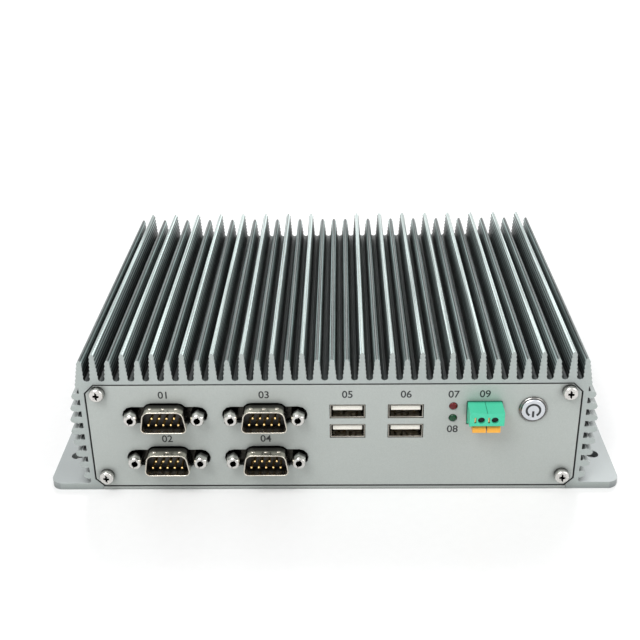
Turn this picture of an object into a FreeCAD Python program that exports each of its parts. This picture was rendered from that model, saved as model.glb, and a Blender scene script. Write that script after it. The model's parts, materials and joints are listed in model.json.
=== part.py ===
import FreeCAD, Part
import math
import os
from types import SimpleNamespace

import Sketcher
from FreeCAD import Placement, Rotation, Vector

# Fanless industrial computer in a finned aluminium extrusion, in millimetres.
# Origin: centre of the four flange holes, on the underside. +X is to the right
# when the serial ports are faced, -Y is the front, +Y the rear and +Z up.

doc = FreeCAD.newDocument("FanlessComputer")
sheet = doc.addObject("Spreadsheet::Sheet", "Sizes")

DRIVING_SIZES = {
    # Extruded housing
    "housing_depth": 142.0,
    "fin_pitch": 5.5,
    "slot_width": 2.65,
    "tall_fin_height": 11.6,
    "short_fin_height": 8.8,
    "fin_tip_width": 1.3,
    "fin_ridge_pitch": 1.6,
    "fin_ridge_depth": 0.3,
    "shoulder_width": 1.8,
    "shoulder_drop": 0.6,
    "roof_lip": 1.45,
    "rib_groove_pitch": 5.07,
    "rib_groove_gap": 2.4,
    "rib_groove_recess": 1.0,
    "rib_reach": 0.4,
    "rib_bulge": 3.5,
    "rib_ridge_depth": 0.45,
    "flange_reach": 15.0,
    "flange_thickness": 3.0,
    "flange_corner_radius": 4.5,
    "flange_hole_width": 5.0,
    "flange_hole_inset": 6.6,
    "flange_hole_end": 19.0,
    "foot_fillet": 1.0,
    "roof_thickness": 6.4,
    "bay_wall": 5.3,
    "boss_width": 6.0,
    "boss_height": 9.3,
    # Base cover and end panels
    "cover_thickness": 1.7,
    "cover_gap": 0.1,
    "cover_rebate": 5.8,
    "cover_screw_end": 21.0,
    "panel_thickness": 2.0,
    "panel_height": 44.8,
    "panel_gap": 0.35,
    "panel_lip": 3.05,
    "panel_chamfer": 3.3,
    "panel_screw_side": 4.5,
    "panel_screw_top": 2.85,
    "panel_screw_foot": 5.1,
    "cutout_gap": 0.2,
    # Screws
    "screw_shank_width": 3.0,
    "screw_hole_gap": 0.1,
    "screw_pass_gap": 0.3,
    "screw_head_width": 5.5,
    "screw_head_height": 3.0,
    "screw_length": 8.0,
    "screw_tip_room": 1.0,
    "cover_screw_length": 6.0,
    "cover_sink_gap": 0.2,
    # D-shaped connectors
    "shell_sheet": 0.5,
    "shell_reach": 6.0,
    "shell_radius": 2.4,
    "shell_slant": 1.5,
    "shell_flange_height": 12.4,
    "shell_ear": 2.9,
    "shell_flange_sheet": 0.8,
    "serial_shell_width": 17.9,
    "serial_shell_height": 9.4,
    "serial_first_x": -62.9,
    "serial_column_pitch": 37.5,
    "serial_board_top": 5.6,
    "serial_rise": 9.25,
    "serial_row_pitch": 19.05,
    "serial_body_depth": 14.0,
    "serial_floor": 0.5,
    "serial_pin_width": 1.0,
    "serial_pin_pitch": 2.77,
    "serial_pin_row": 2.84,
    "serial_pin_recess": 0.8,
    "jackscrew_spacing": 24.99,
    "jackscrew_across": 5.0,
    "jackscrew_reach": 4.6,
    "jackscrew_thread": 2.5,
    "jackscrew_bore_depth": 4.1,
    "jackscrew_shank": 2.8,
    "jackscrew_shank_length": 3.8,
    "jackscrew_hole_gap": 0.2,
    "jackscrew_pocket_width": 5.4,
    "jackscrew_pocket_depth": 4.0,
    "window_gap": 0.4,
    "window_lobe": 1.0,
    # Stacked data ports
    "data_port_width": 13.0,
    "data_port_height": 5.7,
    "data_port_sheet": 0.35,
    "data_port_pitch": 8.6,
    "data_port_rise": 4.2,
    "data_port_depth": 17.0,
    "data_mouth_recess": 0.3,
    "data_can_gap": 0.6,
    "data_body_margin": 0.9,
    "data_heel_depth": 3.0,
    "data_tongue_roof": 0.6,
    "data_tongue_height": 1.9,
    "data_tongue_width": 11.1,
    "data_tongue_recess": 0.8,
    "data_contact_width": 1.0,
    "data_contact_pitch": 2.3,
    "data_contact_sheet": 0.15,
    "data_contact_setback": 1.0,
    "data_contact_length": 9.0,
    "front_data_x": 5.6,
    "front_data_pitch": 21.75,
    "rear_data_x": 17.1,
    # Indicator lights, switch plug and power button
    "light_x": 44.95,
    "light_width": 3.0,
    "light_upper_z": 37.35,
    "light_pitch": 5.15,
    "light_reach": 0.8,
    "light_tip_width": 1.8,
    "plug_x": 56.5,
    "plug_width": 12.7,
    "plug_top_z": 39.2,
    "plug_split_z": 33.75,
    "plug_foot_z": 29.5,
    "plug_reach": 8.3,
    "plug_depth": 7.0,
    "plug_wire_width": 2.6,
    "plug_wire_pitch": 4.95,
    "plug_wire_z": 36.15,
    "plug_wire_depth": 9.0,
    "plug_wire_shift": 0.4,
    "plug_slot_offset": 2.2,
    "plug_slot_width": 0.7,
    "plug_slot_height": 2.4,
    "plug_slot_depth": 2.0,
    "plug_recess": 0.4,
    "plug_rail_width": 1.2,
    "plug_rail_height": 0.6,
    "plug_parting_width": 0.2,
    "plug_parting_depth": 0.25,
    "plug_foot_wall": 0.3,
    "release_margin": 1.35,
    "release_spacing": 0.35,
    "release_root": 3.0,
    "release_width": 5.0,
    "release_gap": 0.15,
    "release_reach": 7.0,
    "release_travel": 1.5,
    "release_slope": 2.0,
    "release_slope_depth": 1.4,
    "button_x": 74.5,
    "button_z": 35.9,
    "button_ring_width": 10.5,
    "button_cap_width": 8.9,
    "button_ring_reach": 0.7,
    "button_reach": 1.1,
    "button_travel": 1.2,
    "button_gap": 0.15,
    "button_lip": 0.4,
    "button_board_depth": 9.0,
    "button_board_margin": 1.0,
    "switch_size": 6.0,
    "switch_height": 1.4,
    "switch_plunger_width": 3.0,
    "switch_plunger_height": 0.8,
    "switch_play": 0.3,
    "board_thickness": 1.6,
    # Rear sockets
    "main_board_top": 22.3,
    "audio_x": 67.8,
    "audio_rise": 14.8,
    "audio_width": 6.9,
    "audio_bore": 3.6,
    "audio_sleeve_width": 5.2,
    "audio_depth": 14.0,
    "audio_reach": 0.8,
    "audio_lip": 0.3,
    "audio_floor": 1.0,
    "audio_body_width": 9.3,
    "audio_body_setback": 3.4,
    "antenna_x": 75.0,
    "antenna_pitch": 29.8,
    "antenna_z": 12.6,
    "antenna_cap_width": 7.2,
    "antenna_neck_width": 6.4,
    "antenna_neck_length": 4.0,
    "antenna_rim": 0.7,
    "antenna_crown_width": 4.4,
    "antenna_reach": 1.6,
    "network_x": 53.0,
    "network_pitch": 18.2,
    "network_rise": 10.25,
    "network_width": 15.9,
    "network_height": 12.7,
    "network_sheet": 0.3,
    "network_depth": 16.0,
    "network_reach": 0.5,
    "network_mouth_width": 11.8,
    "network_mouth_height": 7.6,
    "network_mouth_rise": 1.0,
    "network_mouth_depth": 13.0,
    "network_latch_width": 6.0,
    "network_latch_height": 2.4,
    "network_light_width": 3.2,
    "network_light_height": 2.2,
    "network_light_inset": 0.6,
    "network_light_rise": 0.9,
    "network_light_depth": 4.0,
    "network_contact_pitch": 1.02,
    "network_contact_width": 0.45,
    "network_contact_sheet": 0.5,
    "network_contact_start": 4.0,
    "network_contact_end": 0.5,
    "screen_x": 1.7,
    "screen_rise": 8.0,
    "screen_width": 5.5,
    "screen_height": 15.0,
    "screen_bevel": 2.2,
    "screen_sheet": 0.4,
    "screen_depth": 11.0,
    "screen_reach": 0.3,
    "screen_tongue": 1.0,
    "screen_tongue_shift": 0.5,
    "screen_tongue_inset": 1.8,
    "screen_tongue_recess": 0.8,
    "screen_heel": 2.5,
    "display_x": -21.5,
    "display_rise": 10.45,
    "display_shell_width": 16.9,
    "display_shell_height": 8.5,
    "display_reach": 5.2,
    "display_face_recess": 0.3,
    "display_body_depth": 10.0,
    "display_hole_depth": 4.0,
    "display_hole_width": 1.1,
    "display_hole_pitch": 2.29,
    "display_row_pitch": 1.98,
    "supply_x": -64.1,
    "supply_width": 29.5,
    "supply_height": 15.4,
    "supply_rise": 10.5,
    "supply_reach": 8.0,
    "supply_depth": 12.0,
    "supply_pole_pitch": 5.08,
    "supply_pin_width": 1.0,
    "supply_pin_z": 28.7,
    "supply_chamber_foot": 26.2,
    "supply_chamber_top": 32.1,
    "supply_slot_top": 35.3,
    "supply_bar": 1.6,
    "supply_insert_spacing": 15.1,
    "supply_insert_width": 3.6,
    "supply_insert_thread": 2.0,
    "supply_hole_spacing": 20.2,
    "supply_hole_width": 5.4,
    "supply_hole_z": 35.7,
    "supply_cavity_depth": 8.0,
    "supply_pin_setback": 2.5,
    "supply_foot_gap": 0.5,
    "ground_x": -79.5,
    "ground_z": 13.2,
    "ground_washer_width": 7.0,
    "ground_washer_sheet": 0.8,
    "ground_head_height": 1.9,
    # Boards and what they carry
    "board_side_gap": 3.0,
    "board_end_gap": 3.0,
    "board_front_gap": 1.0,
    "board_notch_gap": 1.0,
    "serial_board_front_gap": 0.5,
    "serial_board_overhang": 6.0,
    "standoff_across": 5.0,
    "standoff_inset": 5.0,
    "standoff_end": 22.0,
    "standoff_middle_end": 32.0,
    "standoff_rear_end": 42.0,
    "processor_size": 25.0,
    "processor_height": 1.5,
    "thermal_block_size": 46.0,
    "memory_length": 67.6,
    "memory_width": 30.0,
    "memory_sheet": 1.2,
    "memory_drop": 3.0,
    "memory_drive_gap": 4.0,
    "memory_socket_wall": 1.0,
    "memory_socket_depth": 4.0,
    "memory_socket_back": 2.0,
    "drive_length": 100.0,
    "drive_width": 69.85,
    "drive_height": 7.0,
    "drive_x": 42.0,
}

SLOTS_PER_SIDE = 17
SIDE_GROOVES = 9
RIDGE_PEAK = 0.62
CONTACTS_PER_TONGUE = 4
NETWORK_CONTACTS = 8

# Small round details that repeat are drawn with flats, which keeps the model light
FLOOR_FLATS = 4
CORNER_FLATS = 3
SHANK_SIDES = 8
PIN_SIDES = 6
SMALL_SIDES = 12


class Size:
    """A length held both as a number and as the sheet expression that gives it."""

    def __init__(self, value, text):
        self.value = value
        self.text = text

    def __add__(self, other):
        other = as_size(other)
        return Size(self.value + other.value, f"({self.text} + {other.text})")

    def __sub__(self, other):
        other = as_size(other)
        return Size(self.value - other.value, f"({self.text} - {other.text})")

    def __mul__(self, factor):
        factor = as_size(factor)
        return Size(self.value * factor.value, f"({self.text} * {factor.text})")

    def __truediv__(self, divisor):
        divisor = as_size(divisor)
        return Size(self.value / divisor.value, f"({self.text} / {divisor.text})")

    def __radd__(self, other):
        return as_size(other) + self

    def __rsub__(self, other):
        return as_size(other) - self

    def __rmul__(self, factor):
        return self * factor

    def __neg__(self):
        return self * -1


def as_size(length):
    """Take a plain number as a size too."""
    if isinstance(length, Size):
        return length
    return Size(float(length), f"({float(length):.9f})")


def fill_sheet():
    """Write each driving size in a cell with its alias, and return them all as sizes."""
    for row, (alias, value) in enumerate(DRIVING_SIZES.items(), start=1):
        sheet.set(f"A{row}", alias.replace("_", " "))
        sheet.set(f"B{row}", str(value))
        sheet.setAlias(f"B{row}", alias)
    doc.recompute()
    return {alias: Size(float(sheet.get(alias)), f"Sizes.{alias}") for alias in DRIVING_SIZES}


s = SimpleNamespace(**fill_sheet())
subparts = []

# Levels and planes that several pieces share
FRONT = s.housing_depth / -2
REAR = s.housing_depth / 2
PANEL_FOOT = s.cover_thickness + s.cover_gap
PANEL_TOP = PANEL_FOOT + s.panel_height
SLOT_FLOOR = PANEL_TOP + s.panel_gap + s.roof_lip
CEILING = SLOT_FLOOR - s.roof_thickness
BODY_SIDE = s.fin_pitch * SLOTS_PER_SIDE + s.shoulder_width
PANEL_SIDE = BODY_SIDE - s.panel_lip - s.panel_gap
BAY_SIDE = BODY_SIDE - s.bay_wall - s.rib_groove_recess
BOSS_SIDE = BAY_SIDE - s.boss_width
COVER_SIDE = BODY_SIDE - s.cover_rebate
BOARD_TOP = s.main_board_top
BOARD_FOOT = s.main_board_top - s.board_thickness
SERIAL_TOP = s.serial_board_top
SHELL_FLANGE_WIDTH = s.jackscrew_spacing + s.shell_ear * 2

# How a piece that is built along +Z is turned to point another way
POINTING = {
    "up": Rotation(),
    "down": Rotation(Vector(1, 0, 0), 180),
    "front": Rotation(Vector(1, 0, 0), 90),
    "rear": Rotation(Vector(1, 0, 0), -90),
    "right": Rotation(Vector(0, 1, 0), 90),
}


def bind(piece, **lengths):
    """Bind properties to sheet expressions. A double underscore stands for a point."""
    for path, length in lengths.items():
        piece.setExpression(path.replace("__", "."), as_size(length).text)


def put(piece, place, pointing="up"):
    """Turn a piece and bind its place to the sheet."""
    piece.Placement = Placement(Vector(), POINTING[pointing])
    x, y, z = place
    bind(piece, Placement__Base__x=x, Placement__Base__y=y, Placement__Base__z=z)
    return piece


def box(name, x, y, z):
    """A block given by its low and high limit along each axis."""
    piece = doc.addObject("Part::Box", name)
    bind(piece, Length=x[1] - as_size(x[0]), Width=y[1] - as_size(y[0]), Height=z[1] - as_size(z[0]))
    return put(piece, (x[0], y[0], z[0]))


def rod(name, place, pointing, width, length, sides=None):
    """A rod of a given diameter that starts at a place and points one way, round or with flats."""
    piece = doc.addObject("Part::Prism" if sides else "Part::Cylinder", name)
    if sides:
        piece.Polygon = sides
        bind(piece, Circumradius=width / 2, Height=length)
    else:
        bind(piece, Radius=width / 2, Height=length)
    return put(piece, place, pointing)


def hexagon(name, place, pointing, across, length):
    """A hexagonal rod of a given width across its flats."""
    piece = doc.addObject("Part::Prism", name)
    piece.Polygon = 6
    bind(piece, Circumradius=across / math.sqrt(3), Height=length)
    return put(piece, place, pointing)


def taper(name, place, pointing, width, tip_width, length):
    """A taper from one diameter to another, lofted between two rings with flats."""
    rings = []
    for end, across, along in (("foot", width, 0), ("tip", tip_width, length)):
        ring = doc.addObject("Part::RegularPolygon", f"{name}_{end}")
        ring.Polygon = SMALL_SIDES
        bind(ring, Circumradius=across / 2, Placement__Base__z=along)
        rings.append(ring)
    piece = doc.addObject("Part::Loft", name)
    piece.Sections = rings
    piece.Solid = True
    piece.Ruled = True
    return put(piece, place, pointing)


def fuse(name, *pieces):
    """One solid made of pieces that touch or cross."""
    piece = doc.addObject("Part::MultiFuse", name)
    piece.Shapes = list(pieces)
    return piece


def group(name, pieces):
    """Separate solids that share one name, such as a set of screws."""
    piece = doc.addObject("Part::Compound", name)
    piece.Links = list(pieces)
    return piece


def cut(name, base, *tools):
    """A solid less one or more cutters."""
    piece = doc.addObject("Part::Cut", name)
    piece.Base = base
    piece.Tool = tools[0] if len(tools) == 1 else fuse(f"{name}_cutters", *tools)
    return piece


def in_order(*planes):
    """Planes sorted from the lower to the higher."""
    return sorted(planes, key=lambda plane: plane.value)


def finish(piece, label=None):
    """Register an object as one sub-part of the computer, under its own label."""
    piece.Label = label or piece.Name
    subparts.append(piece)
    return piece


def attach(body, name, plane, offset=0):
    """A sketch on one of a body's own origin planes, moved along the plane's normal."""
    sketch = body.newObject("Sketcher::SketchObject", name)
    support = next(part for part in body.Origin.OriginFeatures if part.Role == plane)
    sketch.AttachmentSupport = [(support, "")]
    sketch.MapMode = "FlatFace"
    bind(sketch, AttachmentOffset__Base__z=offset)
    return sketch


def draw_polygon(sketch, corners):
    """Draw a closed outline and bind every corner to the sheet."""
    corners = [(as_size(across), as_size(up)) for across, up in corners]
    first = sketch.GeometryCount
    for index, (across, up) in enumerate(corners):
        end_across, end_up = corners[(index + 1) % len(corners)]
        start = Vector(across.value, up.value, 0)
        sketch.addGeometry(Part.LineSegment(start, Vector(end_across.value, end_up.value, 0)), False)
    for index, (across, up) in enumerate(corners):
        line = first + index
        following = first + (index + 1) % len(corners)
        sketch.addConstraint(Sketcher.Constraint("Coincident", line, 2, following, 1))
        for kind, length in (("DistanceX", across), ("DistanceY", up)):
            number = sketch.addConstraint(Sketcher.Constraint(kind, -1, 1, line, 1, length.value))
            sketch.setExpression(f"Constraints[{number}]", length.text)


def prism(name, corners, front, rear):
    """A body with one outline, seen from the front, from a front plane to a rear plane."""
    body = doc.addObject("PartDesign::Body", name)
    sketch = attach(body, f"{name}_outline", "XZ_Plane", -as_size(rear))
    draw_polygon(sketch, corners)
    pad = body.newObject("PartDesign::Pad", f"{name}_pad")
    pad.Profile = sketch
    bind(pad, Length=as_size(rear) - front)
    return body


def prism_across(name, span, corners):
    """A body with one outline of along and up, seen from the right, over a span across."""
    body = doc.addObject("PartDesign::Body", name)
    sketch = attach(body, f"{name}_outline", "YZ_Plane", span[0])
    draw_polygon(sketch, corners)
    pad = body.newObject("PartDesign::Pad", f"{name}_pad")
    pad.Profile = sketch
    bind(pad, Length=span[1] - span[0])
    return body


def turned(name, outline, place, pointing):
    """A turned body: an outline of radius and height, revolved about its own Z axis."""
    body = doc.addObject("PartDesign::Body", name)
    sketch = attach(body, f"{name}_outline", "XZ_Plane")
    draw_polygon(sketch, outline)
    turn = body.newObject("PartDesign::Revolution", f"{name}_turn")
    turn.Profile = sketch
    turn.ReferenceAxis = (sketch, ["V_Axis"])
    turn.Angle = 360
    return put(body, place, pointing)


# --- Finned housing -------------------------------------------------------------------

def ridged_side(base, tip, pitch, depth, outward):
    """Points up one side of a fin: saw-tooth ridges that point away from the fin's middle."""
    length = math.dist(base, tip)
    ridges = max(1, round(length / pitch))
    points = []
    for ridge in range(ridges):
        for share, rise in ((0.0, 0.0), (RIDGE_PEAK, 1.0)):
            along = (ridge + share) / ridges
            points.append((base[0] + (tip[0] - base[0]) * along + outward * depth * rise,
                           base[1] + (tip[1] - base[1]) * along))
    points.append(tip)
    return points


def rounded(centre, radius, start, end, flats):
    """Points along a round stretch between two angles in degrees, drawn with a few flats."""
    angles = [math.radians(start + (end - start) * step / flats) for step in range(1, flats + 1)]
    return [(centre[0] + radius * math.cos(angle), centre[1] + radius * math.sin(angle)) for angle in angles]


class Path:
    """A run of straight lines and arcs, kept as the edges of one half of the section."""

    def __init__(self, start):
        self.here = start
        self.edges = []

    def lines(self, points):
        for point in points:
            if math.dist(point, self.here) > 1e-6:
                self.edges.append((self.here, None, point))
                self.here = point

    def arc(self, middle, end):
        self.edges.append((self.here, middle, end))
        self.here = end

    def geometry(self):
        """The edges of this half and of its mirror image, as one closed outline."""
        shapes = []
        for flip in (1, -1):
            for start, middle, end in self.edges:
                points = [Vector(flip * across, up, 0) for across, up in (start, middle or start, end)]
                if middle is None:
                    shapes.append(Part.LineSegment(points[0], points[2]))
                else:
                    shapes.append(Part.Arc(*points))
        return shapes


def rib_tip(height):
    """How far out the side ribs reach at a height: they bulge towards mid-height."""
    middle = (SLOT_FLOOR.value + s.flange_thickness.value) / 2
    half = (SLOT_FLOOR.value - s.flange_thickness.value) / 2
    return BODY_SIDE.value + s.rib_reach.value + s.rib_bulge.value * (1 - ((height - middle) / half) ** 2)


def draw_side(path):
    """The flange and the ribbed side wall, from the underside up to the shoulder."""
    wall = BODY_SIDE.value - s.rib_groove_recess.value
    foot = s.flange_thickness.value
    fillet = s.foot_fillet.value
    path.lines([(BODY_SIDE.value + s.flange_reach.value, 0),
                (BODY_SIDE.value + s.flange_reach.value, foot),
                (wall + fillet, foot)])
    corner = (wall + fillet * (1 - math.sqrt(0.5)), foot + fillet * (1 - math.sqrt(0.5)))
    path.arc(corner, (wall, foot + fillet))
    highest = SLOT_FLOOR.value - s.roof_lip.value - s.rib_groove_gap.value
    for groove in reversed(range(SIDE_GROOVES)):
        centre = highest - groove * s.rib_groove_pitch.value
        low = centre + s.rib_groove_gap.value / 2
        high = low + s.rib_groove_pitch.value - s.rib_groove_gap.value
        reach = rib_tip((low + high) / 2)
        radius = (high - low) / 2
        if groove == 0:
            path.lines([(wall, low), (BODY_SIDE.value, low)])
            break
        path.lines([(wall, low)])
        neck = (wall + reach - radius) / 2
        half_ridge = s.rib_ridge_depth.value
        path.lines([(neck - half_ridge, low), (neck, low - half_ridge), (neck + half_ridge, low),
                    (reach - radius, low)])
        path.lines(rounded((reach - radius, low + radius), radius, -90, 90, FLOOR_FLATS))
        path.lines([(neck + half_ridge, high), (neck, high + half_ridge), (neck - half_ridge, high),
                    (wall, high)])


def draw_fins(path):
    """The fins and the round-bottomed slots between them, from the shoulder to the middle."""
    pitch = s.fin_pitch.value
    radius = s.slot_width.value / 2
    tip = s.fin_tip_width.value / 2
    floor = SLOT_FLOOR.value
    ridge = (s.fin_ridge_pitch.value, s.fin_ridge_depth.value)
    for slot in range(SLOTS_PER_SIDE, 0, -1):
        fin_x = slot * pitch
        slot_x = fin_x - pitch / 2
        tall = (SLOTS_PER_SIDE - slot) % 2 == 1
        top = floor + (s.tall_fin_height.value if tall else s.short_fin_height.value)
        if slot == SLOTS_PER_SIDE:
            fin_x -= tip
            path.lines([(BODY_SIDE.value, floor - s.roof_lip.value - s.shoulder_drop.value)])
        path.lines(ridged_side(path.here, (fin_x + tip, top - tip), *ridge, 1))
        path.lines([(fin_x + tip / 2, top), (fin_x - tip / 2, top), (fin_x - tip, top - tip)])
        path.lines(ridged_side((slot_x + radius, floor + radius), (fin_x - tip, top - tip), *ridge, -1)[::-1])
        path.lines(rounded((slot_x, floor + radius), radius, 0, -180, FLOOR_FLATS))
    top = floor + s.short_fin_height.value
    path.lines(ridged_side(path.here, (tip, top - tip), *ridge, 1))
    path.lines([(tip / 2, top), (0, top)])


def draw_housing_section(sketch):
    """The whole section: an open-bottomed bay inside, flanges, ribs and fins outside."""
    path = Path((0, CEILING.value))
    boss_top = s.cover_thickness.value + s.boss_height.value
    path.lines([(BAY_SIDE.value, CEILING.value),
                (BAY_SIDE.value, boss_top),
                (BOSS_SIDE.value, boss_top),
                (BOSS_SIDE.value, s.cover_thickness.value),
                (COVER_SIDE.value + s.cover_gap.value, s.cover_thickness.value),
                (COVER_SIDE.value + s.cover_gap.value, 0)])
    draw_side(path)
    draw_fins(path)
    sketch.addGeometry(path.geometry(), False)


def panel_outline(margin):
    """The panel's outline with its corners cut off, grown by a margin on every side."""
    side = PANEL_SIDE + margin
    foot = PANEL_FOOT - margin
    top = PANEL_TOP + margin
    bevel = s.panel_chamfer + margin * (2 - math.sqrt(2))
    return [(-side, foot + bevel), (-side + bevel, foot), (side - bevel, foot), (side, foot + bevel),
            (side, top - bevel), (side - bevel, top), (-side + bevel, top), (-side, top - bevel)]


def panel_screw_places():
    """Where the four corner screws of a panel are, as across and up."""
    side = PANEL_SIDE - s.panel_screw_side
    return [(across, up) for across in (-side, side)
            for up in (PANEL_FOOT + s.panel_screw_foot, PANEL_TOP - s.panel_screw_top)]


def cover_screw_places():
    """Where the base cover's screws are, as across and along."""
    side = (BOSS_SIDE + COVER_SIDE) / 2
    end = REAR - s.cover_screw_end
    return [(across, along) for across in (-side, side) for along in (-end, end)]


def make_housing():
    body = doc.addObject("PartDesign::Body", "housing_extrusion")
    section = attach(body, "housing_section", "XZ_Plane")
    draw_housing_section(section)
    pad = body.newObject("PartDesign::Pad", "housing_length")
    pad.Profile = section
    pad.SideType = "Symmetric"
    bind(pad, Length=s.housing_depth)
    cutters = []
    for name, front, rear in (("front_recess", FRONT, FRONT + s.panel_thickness),
                              ("rear_recess", REAR - s.panel_thickness, REAR)):
        cutters.append(prism(name, panel_outline(s.panel_gap), front, rear))
    hole = s.screw_shank_width + s.screw_hole_gap
    depth = s.screw_length + s.screw_tip_room
    for number, (across, up) in enumerate(panel_screw_places()):
        cutters.append(rod(f"front_screw_hole_{number}", (across, FRONT + s.panel_thickness, up),
                           "rear", hole, depth, SHANK_SIDES))
        cutters.append(rod(f"rear_screw_hole_{number}", (across, REAR - s.panel_thickness, up),
                           "front", hole, depth, SHANK_SIDES))
    for number, (across, along) in enumerate(cover_screw_places()):
        cutters.append(rod(f"cover_screw_hole_{number}", (across, along, s.cover_thickness),
                           "up", hole, s.screw_length, SHANK_SIDES))
    flange_x = BODY_SIDE + s.flange_reach - s.flange_hole_inset
    flange_y = REAR - s.flange_hole_end
    for side in (-1, 1):
        for end in (-1, 1):
            name = f"flange_{side + 1}_{end + 1}"
            cutters.append(rod(f"{name}_hole", (flange_x * side, flange_y * end, 0), "up",
                               s.flange_hole_width, s.flange_thickness))
            cutters.append(flange_corner(f"{name}_corner", side, end))
    return finish(cut("heatsink_housing", body, *cutters))


def flange_corner(name, side, end):
    """The cutter that rounds one corner of a flange in plan."""
    edge_x = (BODY_SIDE + s.flange_reach) * side
    edge_y = REAR * end
    radius = s.flange_corner_radius
    centre_x = edge_x - radius * side
    centre_y = edge_y - radius * end
    low_x, high_x = (centre_x, edge_x) if side > 0 else (edge_x, centre_x)
    low_y, high_y = (centre_y, edge_y) if end > 0 else (edge_y, centre_y)
    block = box(f"{name}_block", (low_x, high_x), (low_y, high_y), (as_size(0), s.flange_thickness))
    arc = rod(f"{name}_round", (centre_x, centre_y, 0), "up", radius * 2, s.flange_thickness)
    return cut(name, block, arc)


# --- End panels, base cover and their screws -------------------------------------------

def slab_cutter(name, place, width, height, front, rear):
    """A straight cutter through a panel, grown by the cut-out gap."""
    x, z = place
    half_width = width / 2 + s.cutout_gap
    half_height = height / 2 + s.cutout_gap
    return box(name, (x - half_width, x + half_width), (front, rear), (z - half_height, z + half_height))


def d_corners(place, width, height, margin=0):
    """A D-shaped outline, wider below, with each corner rounded."""
    x, z = place
    low_half = width / 2 + margin
    high_half = low_half - s.shell_slant
    half_height = height / 2 + margin
    radius = s.shell_radius + margin
    lean = s.shell_slant / height
    angles = [math.pi / 2 * step / CORNER_FLATS for step in range(CORNER_FLATS + 1)]
    corners = []
    for half, level, side in ((low_half, 1, -1), (low_half, 1, 1), (high_half, -1, 1), (high_half, -1, -1)):
        for angle in angles if side == level else reversed(angles):
            across = radius * (1 - math.sin(angle))
            up = radius * (1 - math.cos(angle))
            corners.append((x + (half - across - up * lean * level) * side, z - (half_height - up) * level))
    return corners


def d_window(name, place, width, height, front, rear):
    """The panel window of a D-shaped connector: its shell with a lobe for each jackscrew."""
    x, z = place
    lobe = s.jackscrew_across + s.window_lobe * 2
    reach = s.jackscrew_spacing / 2
    tools = [rod(f"{name}_lobe_{side + 1}", (x + reach * side, front, z), "rear", lobe, rear - front,
                 SMALL_SIDES) for side in (-1, 1)]
    tools.append(prism(f"{name}_middle", d_corners(place, width, height, s.window_gap), front, rear))
    tools.append(box(f"{name}_bar", (x - reach, x + reach), (front, rear), (z - lobe / 2, z + lobe / 2)))
    return fuse(name, *tools)


SERIAL_PLACES = [(s.serial_first_x + s.serial_column_pitch * column,
                  SERIAL_TOP + s.serial_rise + s.serial_row_pitch * row)
                 for column in (0, 1) for row in (1, 0)]
FRONT_DATA_COLUMNS = [s.front_data_x, s.front_data_x + s.front_data_pitch]
DATA_ROWS = [BOARD_TOP + s.data_port_rise, BOARD_TOP + s.data_port_rise + s.data_port_pitch]
LIGHT_HEIGHTS = [s.light_upper_z, s.light_upper_z - s.light_pitch]
NETWORK_PLACES = [(s.network_x, BOARD_TOP + s.network_rise),
                  (s.network_x - s.network_pitch, BOARD_TOP + s.network_rise)]
SCREEN_PLACE = (s.screen_x, BOARD_TOP + s.screen_rise)
DISPLAY_PLACE = (s.display_x, BOARD_TOP + s.display_rise)
SUPPLY_PLACE = (s.supply_x, BOARD_TOP + s.supply_rise)
AUDIO_PLACE = (s.audio_x, BOARD_TOP + s.audio_rise)
ANTENNA_PLACES = [(s.antenna_x, s.antenna_z), (s.antenna_x - s.antenna_pitch, s.antenna_z)]


def holes(name, places, width, front, rear, sides=None):
    """Cutters for holes through a panel at several places."""
    return [rod(f"{name}_{number}", (x, front, z), "rear", width, rear - front, sides)
            for number, (x, z) in enumerate(places)]


def make_front_panel():
    front = FRONT
    rear = FRONT + s.panel_thickness
    plate = prism("front_plate", panel_outline(0), front, rear)
    span = (front, rear)
    fixing = s.screw_shank_width + s.screw_pass_gap
    cutters = holes("front_fixing", panel_screw_places(), fixing, *span, SHANK_SIDES)
    for number, place in enumerate(SERIAL_PLACES):
        cutters.append(d_window(f"serial_window_{number}", place, s.serial_shell_width,
                                s.serial_shell_height, *span))
    for column, x in enumerate(FRONT_DATA_COLUMNS):
        for row, z in enumerate(DATA_ROWS):
            cutters.append(slab_cutter(f"front_data_window_{column}{row}", (x, z), s.data_port_width,
                                       s.data_port_height, *span))
    cutters += holes("light_hole", [(s.light_x, z) for z in LIGHT_HEIGHTS], s.light_width + s.cutout_gap,
                     *span, SMALL_SIDES)
    plug_height = s.plug_top_z - s.plug_foot_z
    plug_middle = (s.plug_top_z + s.plug_foot_z) / 2
    cutters.append(slab_cutter("plug_window", (s.plug_x, plug_middle), s.plug_width, plug_height, *span))
    barrel = s.button_ring_width - s.button_lip * 2
    cutters += holes("button_hole", [(s.button_x, s.button_z)], barrel + s.cutout_gap, *span)
    return finish(cut("front_panel", plate, *cutters))


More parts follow.
